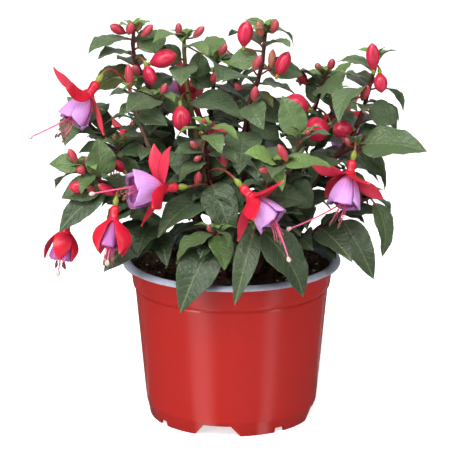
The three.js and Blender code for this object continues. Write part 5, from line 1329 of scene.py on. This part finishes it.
# The leaves keep clear of the blooms' stalks, sepals, cups and stamens, of the stems, and of the buds.
for name, (foot, axis, reflex, turn, opened, stem, where, style) in BLOOMS.items():
    spot, wide = spots[name], opened > WIDE_OPEN
    stalk_points = bezier(stalk(stem, where, foot, axis, STALK_BOW), np.linspace(0, 1, 4))
    keep_rod_clear(stalk_points, 1.2, STEMS[stem][0])
    for k, bend in enumerate(reflex):
        q = np.minimum(0.1 + 0.15 * np.arange(7), 0.99)
        a = np.radians(turn + 90.0 * k)
        start = np.radians(SEPAL_START_ANGLE[True])
        curl = tip_angle(bend, wide) - start
        angle = start + curl * q
        out = SEPAL_LENGTH[wide] / curl * (np.cos(start) - np.cos(angle))
        on = SEPAL_LENGTH[wide] / curl * (np.sin(angle) - np.sin(start))
        inner = -spot.outward(np.array(a)) * np.cos(angle)[:, None] + spot.axis * np.sin(angle)[:, None]
        middle = spot(MOUTH_RADIUS + out, MOUTH_HEIGHT + on, a)
        half = SOLID_SEPAL * (1 if wide else 1.25) * sepal_shape(q)
        side = spot.outward(np.array(a + np.pi / 2)) * half[:, None]
        edges = [middle - side + inner * 0.8, middle, middle + side + inner * 0.8]
        keep_clear(np.concatenate(edges), SEPAL_REACH, name + " calyx")
    keep_rod_clear(spot([0, 0], [0, 14]), 3.2, name + " calyx")
    depth, spread = cup_size(opened)
    keep_rod_clear(spot([0, 0], [PETAL_START, PETAL_START + depth + 3]), spread + 4.2, name + " corolla")
    keep_rod_clear(bezier(style_path(spot, opened, style), np.linspace(0, 1, 5)), 1.6, name + " stamens")
for shoot, radii, path in STEMS.values():
    keep_rod_clear(path, radii[0], shoot)
for stem, where, foot, tip, radius in BUDS:
    keep_rod_clear([foot, tip], radius * 0.8, STEMS[stem][0])
for name, (stem, where, foot, tip, radius) in LARGE_BUDS.items():
    length = np.array(tip, float) - foot
    stalk_points = bezier(stalk(stem, where, foot, unit(length), BUD_BOW), np.linspace(0, 1, 4))
    keep_rod_clear(stalk_points, 1.0, STEMS[stem][0])
    keep_rod_clear([foot, np.array(foot) + 0.7 * length, tip], radius * 0.9, "bud " + name)

leaves = {shoot: [] for shoot in shoots}
for stem, rows in LEAVES.items():
    shoot = STEMS[stem][0]
    for where, tip, width, *rest in rows:
        face, arch = rest + [UP, BLADE_ARCH][len(rest):]
        leaf = grow_leaf(shoot, root_on(stem, where, tip), tip, width, face, arch, BENDS)
        if leaf:
            leaf = leaf[:4] + (width * NARROWED.get(tuple(tip), 1), arch)
            leaves[shoot].append(leaf + (where / (len(STEMS[stem][2]) - 1), BRIGHT_TIPS.get(stem, USUAL_TIP)))
for stem, first, last, pairs, low, high, heading in PAIRS:
    shoot, _, path = STEMS[stem]
    for k in range(pairs):
        share = k / (pairs - 1) if pairs > 1 else 0
        where, length = first + (last - first) * share, low + (high - low) * share
        for half in (0, 180):
            a = np.radians(heading + 90 * k + half + 14 * np.sin(7 * k + heading))
            rise = np.radians(10 + 26 * share - 22 * (1 - share) * np.cos(3 * k + half))
            tip = along(path, where) + way_at(a, rise) * length
            base = root_on(stem, where, tip)
            leaf = grow_leaf(shoot, base, tip, length * 0.3, UP, BLADE_ARCH + 0.05, BENDS)
            if leaf:
                leaves[shoot].append(leaf + (where / (len(path) - 1), 0.5))


# Leaves that close the crown between the shoots: stem, where on it, tip, half width.
CROWN_LEAVES = [
    ["upper_left", 7.6, [-38, 22, 221], 8], ["centre_left", 4.6, [-46, 16, 216], 7],
    ["centre_left", 4.4, [-12, 14, 206], 8], ["centre_left", 3.9, [-10, 14, 197], 7],
    ["top_right", 5.7, [42, 16, 203], 7.5], ["back_right", 4.0, [44, 26, 188], 8],
    ["back_right", 4.3, [50, 32, 200], 7], ["top_right", 4.2, [31, 8, 176], 8],
    ["top_right", 3.6, [27, 4, 166], 8], ["left", 3.9, [-100, -30, 146], 8.5],
    ["right", 5.0, [98, 2, 178], 8], ["right_side", 1.5, [92, -2, 146], 7],
]
for stem, where, tip, width in CROWN_LEAVES:
    shoot, _, path = STEMS[stem]
    leaf = grow_leaf(shoot, root_on(stem, where, tip), tip, width, FRONT, BLADE_ARCH, BENDS[:17], 0.6)
    if leaf:
        leaves[shoot].append(leaf + (where / (len(path) - 1), USUAL_TIP))

# Smaller leaves fill the shoots, and bright young ones stand in rosettes at the tips.
small_leaves = {shoot: [] for shoot in shoots}
young_leaves = {shoot: [] for shoot in shoots}
fill = np.random.default_rng(5)
for stem, (shoot, radii, path) in STEMS.items():
    heading = fill.uniform(0, 360)
    for k in range(3):
        for half in (0, 180):
            a = np.radians(heading + 90 * k + half + fill.normal(0, 9))
            rise = np.radians(46 - 13 * k + fill.normal(0, 7))
            length = 7.5 + 3.4 * k + fill.normal(0, 0.8)
            where = len(path) - 1.16 - 0.13 * k
            tip = along(path, where) + length * way_at(a, rise)
            leaf = grow_leaf(shoot, root_on(stem, where, tip), tip, length * 0.27, UP, 0.2, BENDS[:11], 0.45)
            if leaf:
                young_leaves[shoot].append(leaf + (1.0, 1.0))
for stem, (shoot, radii, path) in STEMS.items():
    run = np.linalg.norm(np.diff(np.array(path, float), axis=0), axis=1).sum()
    for _ in range(int(run / FILL_STEP)):
        where = fill.uniform(0.45, len(path) - 1.1)
        base = along(path, where)
        if fill.uniform(0, 1) < max((base[2] - FILL_HIGH) / FADE_ABOVE, (FILL_LOW - base[2]) / FADE_BELOW):
            continue
        a = np.arctan2(base[1], base[0]) + np.radians(fill.normal(0, 75))
        rise = np.radians(fill.uniform(-25, 45))
        length = fill.uniform(15, 34) * (1.1 - 0.4 * (base[2] - 90) / 150)
        face = np.array([np.cos(a) * 0.5, np.sin(a) * 0.5 - 0.2, 1.0])
        tip = base + way_at(a, rise) * length
        leaf = grow_leaf(shoot, root_on(stem, where, tip), tip, length * fill.uniform(0.27, 0.33), face, 0.17,
                         BENDS[:11], 0.72)
        if leaf:
            small_leaves[shoot].append(leaf + (where / (len(path) - 1), 0.4))


def blade_skins(rows, seeds, stations, sides):
    """Leaves of one shoot, all at once. Across a leaf the skin is round at the stalk, and
    sqrt(stalk^2 + (w v)^2) widens it into the blade, which is thin, folded up from the midrib by |v|, rippled
    and toothed at its edge."""
    base, chord, up, side, width, arch = (
        np.array([row[i] for row in rows], float)[:, None, None] for i in range(6))
    seeds = seeds[:, None, None]
    v, face = two_faced(sides)
    q = np.linspace(0, 1, stations - 4) ** 1.15 * 0.992 + 0.004
    u = np.concatenate([[0.0, 0.035, 0.07, 0.095], PETIOLE + (1 - PETIOLE) * q])[:, None]
    length = np.linalg.norm(chord, axis=-1)
    tooth = 1 + 0.028 * (np.arange(len(u)) % 2)[:, None] * np.abs(v) ** 6
    half = width * outline(u, SEEN_OUTLINE) * tooth
    stalk_r = 0.62 * (1 - 0.25 * np.minimum(u / PETIOLE, 1)) * (1 - np.clip((u - 0.1) / 0.3, 0, 1)) + 0.03
    aside = np.sign(v) * np.sqrt((stalk_r * np.sin(np.pi * v / 2)) ** 2 + (half * v) ** 2)
    folded = BLADE_FOLD + 0.1 + wavering(u, v)
    soft = np.sqrt(v ** 2 + 0.012) - 0.11
    lift = 4 * arch * length * u * (1 - u) + half * (soft * folded - 0.16 * v ** 2)
    free = np.clip(u * 3 - 0.4, 0, 1)
    ripple = 0.050 * np.sin(15 * u + 5.1 * seeds + 1.2 * v) + 0.035 * np.sin(31 * u + 23 * seeds - 2.4 * v)
    lift = lift + width * ripple * np.abs(v) ** 2 * free - 0.05 * length * np.cos(9 * seeds) * u ** 3
    rib = 0.42 * (1 - 0.75 * u) * np.exp(-(half * v / 0.65) ** 2) * np.clip(u * 8 - 0.6, 0, 1)
    edge = BLADE_THICK * (1 - 0.9 * v ** 6) * (1 - 0.5 * u)
    body = np.where(face > 0, edge - 0.35 * rib, -edge - rib) + face * stalk_r * np.cos(np.pi * v / 2)
    lively = np.clip((15 - width) / 9, 0.3, 1)
    twist = np.radians(26) * lively * np.sin(7 * seeds) * (u - 0.2) * (u > 0.2)
    aside, lift = aside * np.cos(twist), lift + body + aside * np.sin(twist)
    aside = aside + 0.05 * lively * length * np.sin(17 * seeds) * np.maximum(u - 0.1, 0) ** 2
    rings = base + chord * u[..., None] + up * lift[..., None] + side * aside[..., None]
    grown = np.stack(np.broadcast_arrays(u, half * v / length, v + 0 * lift), -1)
    return base[:, 0, 0], rings, (base + chord)[:, 0, 0], grown


# A few leaves have turned a bronzed olive: where their tips are.
OLIVE_TIPS = [(-84, 10, 192), (25, -13, 195), (98, 14, 169), (78, 26, 196)]
OLIVE_REACH = 12.0
OLIVE_TONE = 2.0
for number, shoot in enumerate(shoots):
    for rows, stations, sides, fresh in ((leaves[shoot], BLADE_ROWS, BLADE_ACROSS, 0.0),
                                         (small_leaves[shoot], SMALL_ROWS, SMALL_ACROSS, 0.0),
                                         (young_leaves[shoot], SMALL_ROWS, SMALL_ACROSS, 0.65)):
        if not rows:
            continue
        seeds = np.random.default_rng(100 + number).uniform(0, 1, len(rows))
        starts, rings, ends, grown = blade_skins(rows, seeds, stations, sides)
        lengths = np.array([np.linalg.norm(row[1]) for row in rows])
        places, vigour = np.array([row[6:8] for row in rows], float).T
        # Painted shade: leaves low in the plant, and the largest ones, are painted darker, as the crown
        # shades them.
        painted_shade = np.clip((172 - rings[..., 2].mean((1, 2))) / 50, 0, 1)
        painted_shade = np.maximum(painted_shade, np.clip((lengths - 34) / 24, 0, 0.4))
        small = np.clip((40 - lengths) / 16, 0, 1)
        late = np.clip((places - 0.72) / 0.28, 0, 1)
        youth = np.clip(vigour * late * small + 0.25 * (seeds - 0.6) + fresh, 0, 1)
        to_olive = np.linalg.norm(ends[:, None] - np.array(OLIVE_TIPS), axis=-1).min(1)
        tone = np.where(to_olive < OLIVE_REACH, OLIVE_TONE, seeds)
        _, face = two_faced(sides)
        look = np.stack(np.broadcast_arrays(tone[:, None, None] + 0 * rings[..., 0], youth[:, None, None],
                                            np.where(face > 0, 0.0, 1.0), painted_shade[:, None, None]), -1)
        shoots[shoot].append(skins(starts, rings, ends, grown, look, BLADE))

# Leaf veins: from the leaf's own attribute, its share along and its place across.
leaf_veins, given, out = new_group("leaf veins", {"Veins": 9.0, "Width": 0.12},
                                   ["Midrib", "Side veins", "Edge", "Along"])
place = own_place(leaf_veins)
aside = reckoned(leaf_veins, "ABSOLUTE", place["Y"])
slant = reckoned(leaf_veins, "MULTIPLY_ADD", aside, -0.75, place["X"])
curve = scaled(leaf_veins, aside, aside)
bent_in = reckoned(leaf_veins, "MULTIPLY_ADD", curve, -1.2, slant)
zigzag = reckoned(leaf_veins, "PINGPONG", scaled(leaf_veins, bent_in, given.outputs["Veins"]), 0.5)
across = reckoned(leaf_veins, "ABSOLUTE", place["Z"])
near_vein = ranged(leaf_veins, zigzag, given.outputs["Width"], 0.0)
inner_half = ranged(leaf_veins, across, 1.0, 0.55, 0.25, 1.0)
leaf_veins.links.new(scaled(leaf_veins, near_vein, inner_half), out.inputs["Side veins"])
leaf_veins.links.new(ranged(leaf_veins, aside, 0.013, 0.004), out.inputs["Midrib"])
leaf_veins.links.new(ranged(leaf_veins, across, 0.86, 1.0), out.inputs["Edge"])
leaf_veins.links.new(place["X"], out.inputs["Along"])

leaf, tree, shader = new_finish("leaf", Roughness=0.43, Specular_IOR_Level=0.5, Sheen_Weight=0.12,
                                Sheen_Roughness=0.4)
veined = add(tree, "ShaderNodeGroup", node_tree=leaf_veins)
worn = own_look(tree)
cloud = mottled(tree, 110, 2.2)
pucker = mottled(tree, 420, 2.0)
dark = blended(tree, worn["Red"], (0.042, 0.078, 0.028, 1), (0.076, 0.122, 0.050, 1))
tint = blended(tree, cloud.outputs["Mask"], dark, (0.090, 0.140, 0.062, 1))
tint = blended(tree, ranged(tree, pucker.outputs["Mask"], 0.5, 1.0, 0, 0.35), tint, (0.120, 0.180, 0.088, 1))
# Painted shade: look's Alpha, high on low and large leaves, darkens them towards near black.
tint = blended(tree, scaled(tree, worn["Alpha"], 0.72), tint, (0.012, 0.026, 0.009, 1))
tint = blended(tree, ranged(tree, worn["Red"], 1.2, OLIVE_TONE, 0, 0.95), tint, (0.046, 0.047, 0.006, 1))
tint = blended(tree, worn["Green"], tint, (0.170, 0.285, 0.060, 1))
tint = blended(tree, scaled(tree, veined.outputs["Side veins"], 0.12), tint, (0.140, 0.210, 0.085, 1))
tint = blended(tree, scaled(tree, veined.outputs["Edge"], 0.14), tint, (0.170, 0.230, 0.100, 1))
tint = blended(tree, scaled(tree, worn["Blue"], 0.7), tint, (0.120, 0.180, 0.085, 1))
tint = blended(tree, scaled(tree, veined.outputs["Midrib"], 0.34), tint, (0.230, 0.280, 0.120, 1))
tint = blended(tree, ranged(tree, veined.outputs["Along"], 0.16, 0.08), tint, (0.200, 0.050, 0.040, 1))
tree.links.new(tint, shader.inputs["Base Color"])
relief = reckoned(tree, "MULTIPLY_ADD", veined.outputs["Side veins"], -0.36, pucker.outputs["Mask"])
bumped(tree, shader, relief, 0.75, 0.0006)

for shoot, parts in shoots.items():
    make_piece(f"shoot_{shoot}", parts, [young_bark, old_bark, green_skin, red_skin, leaf],
               [f"stem_{shoot}"])


# The backdrop
# The pot stands on a plain white floor that runs to the horizon.
bpy.ops.mesh.primitive_plane_add(size=8)
floor = bpy.context.object
floor.name = "white_floor"
paper, tree, shader = new_finish("white_paper", Roughness=0.9)
shader.inputs["Base Color"].default_value = (0.90, 0.90, 0.90, 1)
seen = add(tree, "ShaderNodeLightPath")
glow = add(tree, "ShaderNodeEmission", {"Strength": 0.66})
both = add(tree, "ShaderNodeAddShader", {0: shader.outputs["BSDF"], 1: glow.outputs["Emission"]})
pick = add(tree, "ShaderNodeMixShader", {0: seen.outputs["Is Camera Ray"], 1: shader.outputs["BSDF"],
                                         2: both.outputs["Shader"]})
# Painted reflections: to reflected rays alone the floor glows, dimly all over and brightly in two strips, so
# that the pot shows two highlight strips that no lamp casts.
# Each strip: where round the pot it is mirrored in degrees, how wide it spreads, and how bright it is.
PAINTED_HIGHLIGHT_STRIPS = ((-19.5, 0.18, 1.5), (25.0, 0.11, 1.0))
MIRROR_RADIUS = 0.054
PAINTED_REFLECTION_GLOW = 0.12
coords = add(tree, "ShaderNodeTexCoord")
painted_reflections = PAINTED_REFLECTION_GLOW
for mirrored, spread, bright in PAINTED_HIGHLIGHT_STRIPS:
    wall, way = np.radians(mirrored), np.radians(2 * mirrored)
    start = (MIRROR_RADIUS * np.sin(wall), -MIRROR_RADIUS * np.cos(wall), 0)
    from_wall = add(tree, "ShaderNodeVectorMath", {0: coords.outputs["Object"], 1: start},
                    operation="SUBTRACT")
    off = add(tree, "ShaderNodeVectorMath", {0: from_wall.outputs[0], 1: (np.cos(way), np.sin(way), 0)},
              operation="DOT_PRODUCT")
    run = add(tree, "ShaderNodeVectorMath", {0: from_wall.outputs[0], 1: (np.sin(way), -np.cos(way), 0)},
              operation="DOT_PRODUCT")
    ahead = reckoned(tree, "MULTIPLY_ADD", run.outputs["Value"], 2.0, MIRROR_RADIUS)
    share = reckoned(tree, "DIVIDE", off.outputs["Value"], reckoned(tree, "MAXIMUM", ahead, 0.02))
    painted_strip = ranged(tree, reckoned(tree, "ABSOLUTE", share), spread, spread * 0.25, 0, bright)
    painted_reflections = reckoned(tree, "ADD", painted_strip, painted_reflections)
painted_reflection = add(tree, "ShaderNodeEmission", {"Strength": painted_reflections})
last = add(tree, "ShaderNodeMixShader", {0: seen.outputs["Is Glossy Ray"], 1: pick.outputs["Shader"],
                                         2: painted_reflection.outputs["Emission"]})
tree.links.new(last.outputs["Shader"], tree.nodes["Material Output"].inputs["Surface"])
floor.data.materials.append(paper)


# The light
# A tall softbox on either side, a broad one overhead, a weak one behind that keeps the back from going dark,
# and a white room.
def softbox(name, azimuth, elevation, distance, size, power, target=(0, 0, 0.12)):
    """An area light that looks at its target from an azimuth, 0 in front and more to the right, at a tilt."""
    light = bpy.data.lights.new(name, "AREA")
    light.shape = "RECTANGLE"
    light.size, light.size_y = size
    light.energy = power
    lamp = bpy.data.objects.new(name, light)
    a, e = np.radians(azimuth), np.radians(elevation)
    way = np.array([np.sin(a) * np.cos(e), -np.cos(a) * np.cos(e), np.sin(e)])
    lamp.location = np.array(target) + way * distance
    lamp.rotation_euler = (np.pi / 2 - e, 0, a)
    bpy.context.scene.collection.objects.link(lamp)


softbox("left_softbox", -42, 24, 1.3, (0.45, 1.1), 10)
softbox("right_softbox", 52, 24, 1.3, (0.20, 1.1), 3.5)
softbox("top_softbox", -14, 60, 1.5, (1.3, 0.9), 24)
softbox("back_softbox", 165, 38, 1.4, (0.9, 0.9), 2.5)
world = bpy.data.worlds.new("white_room")
world.use_nodes = True
room = world.node_tree.nodes["Background"]
seen = add(world.node_tree, "ShaderNodeLightPath")
world.node_tree.links.new(ranged(world.node_tree, seen.outputs["Is Glossy Ray"], 0, 1, 0.25, 0.10, "LINEAR"),
                          room.inputs["Strength"])
room.inputs["Color"].default_value = (1.0, 1.0, 1.0, 1)
bpy.context.scene.world = world
bpy.context.scene.view_settings.view_transform = "Standard"


# The camera
# It looks down at the plant from the photo's angle, a metre and a half in front of it.
LOOKS_DOWN = 15.76
CAMERA_PLACE = (-0.0039, -1.5, 0.539)
FOCAL_LENGTH = 209.85
lens = bpy.data.cameras.new("photo_camera")
lens.sensor_width = 36
lens.lens = FOCAL_LENGTH
camera = bpy.data.objects.new("photo_camera", lens)
camera.location = CAMERA_PLACE
camera.rotation_euler = (np.radians(90 - LOOKS_DOWN), 0, 0)
bpy.context.scene.collection.objects.link(camera)
bpy.context.scene.camera = camera
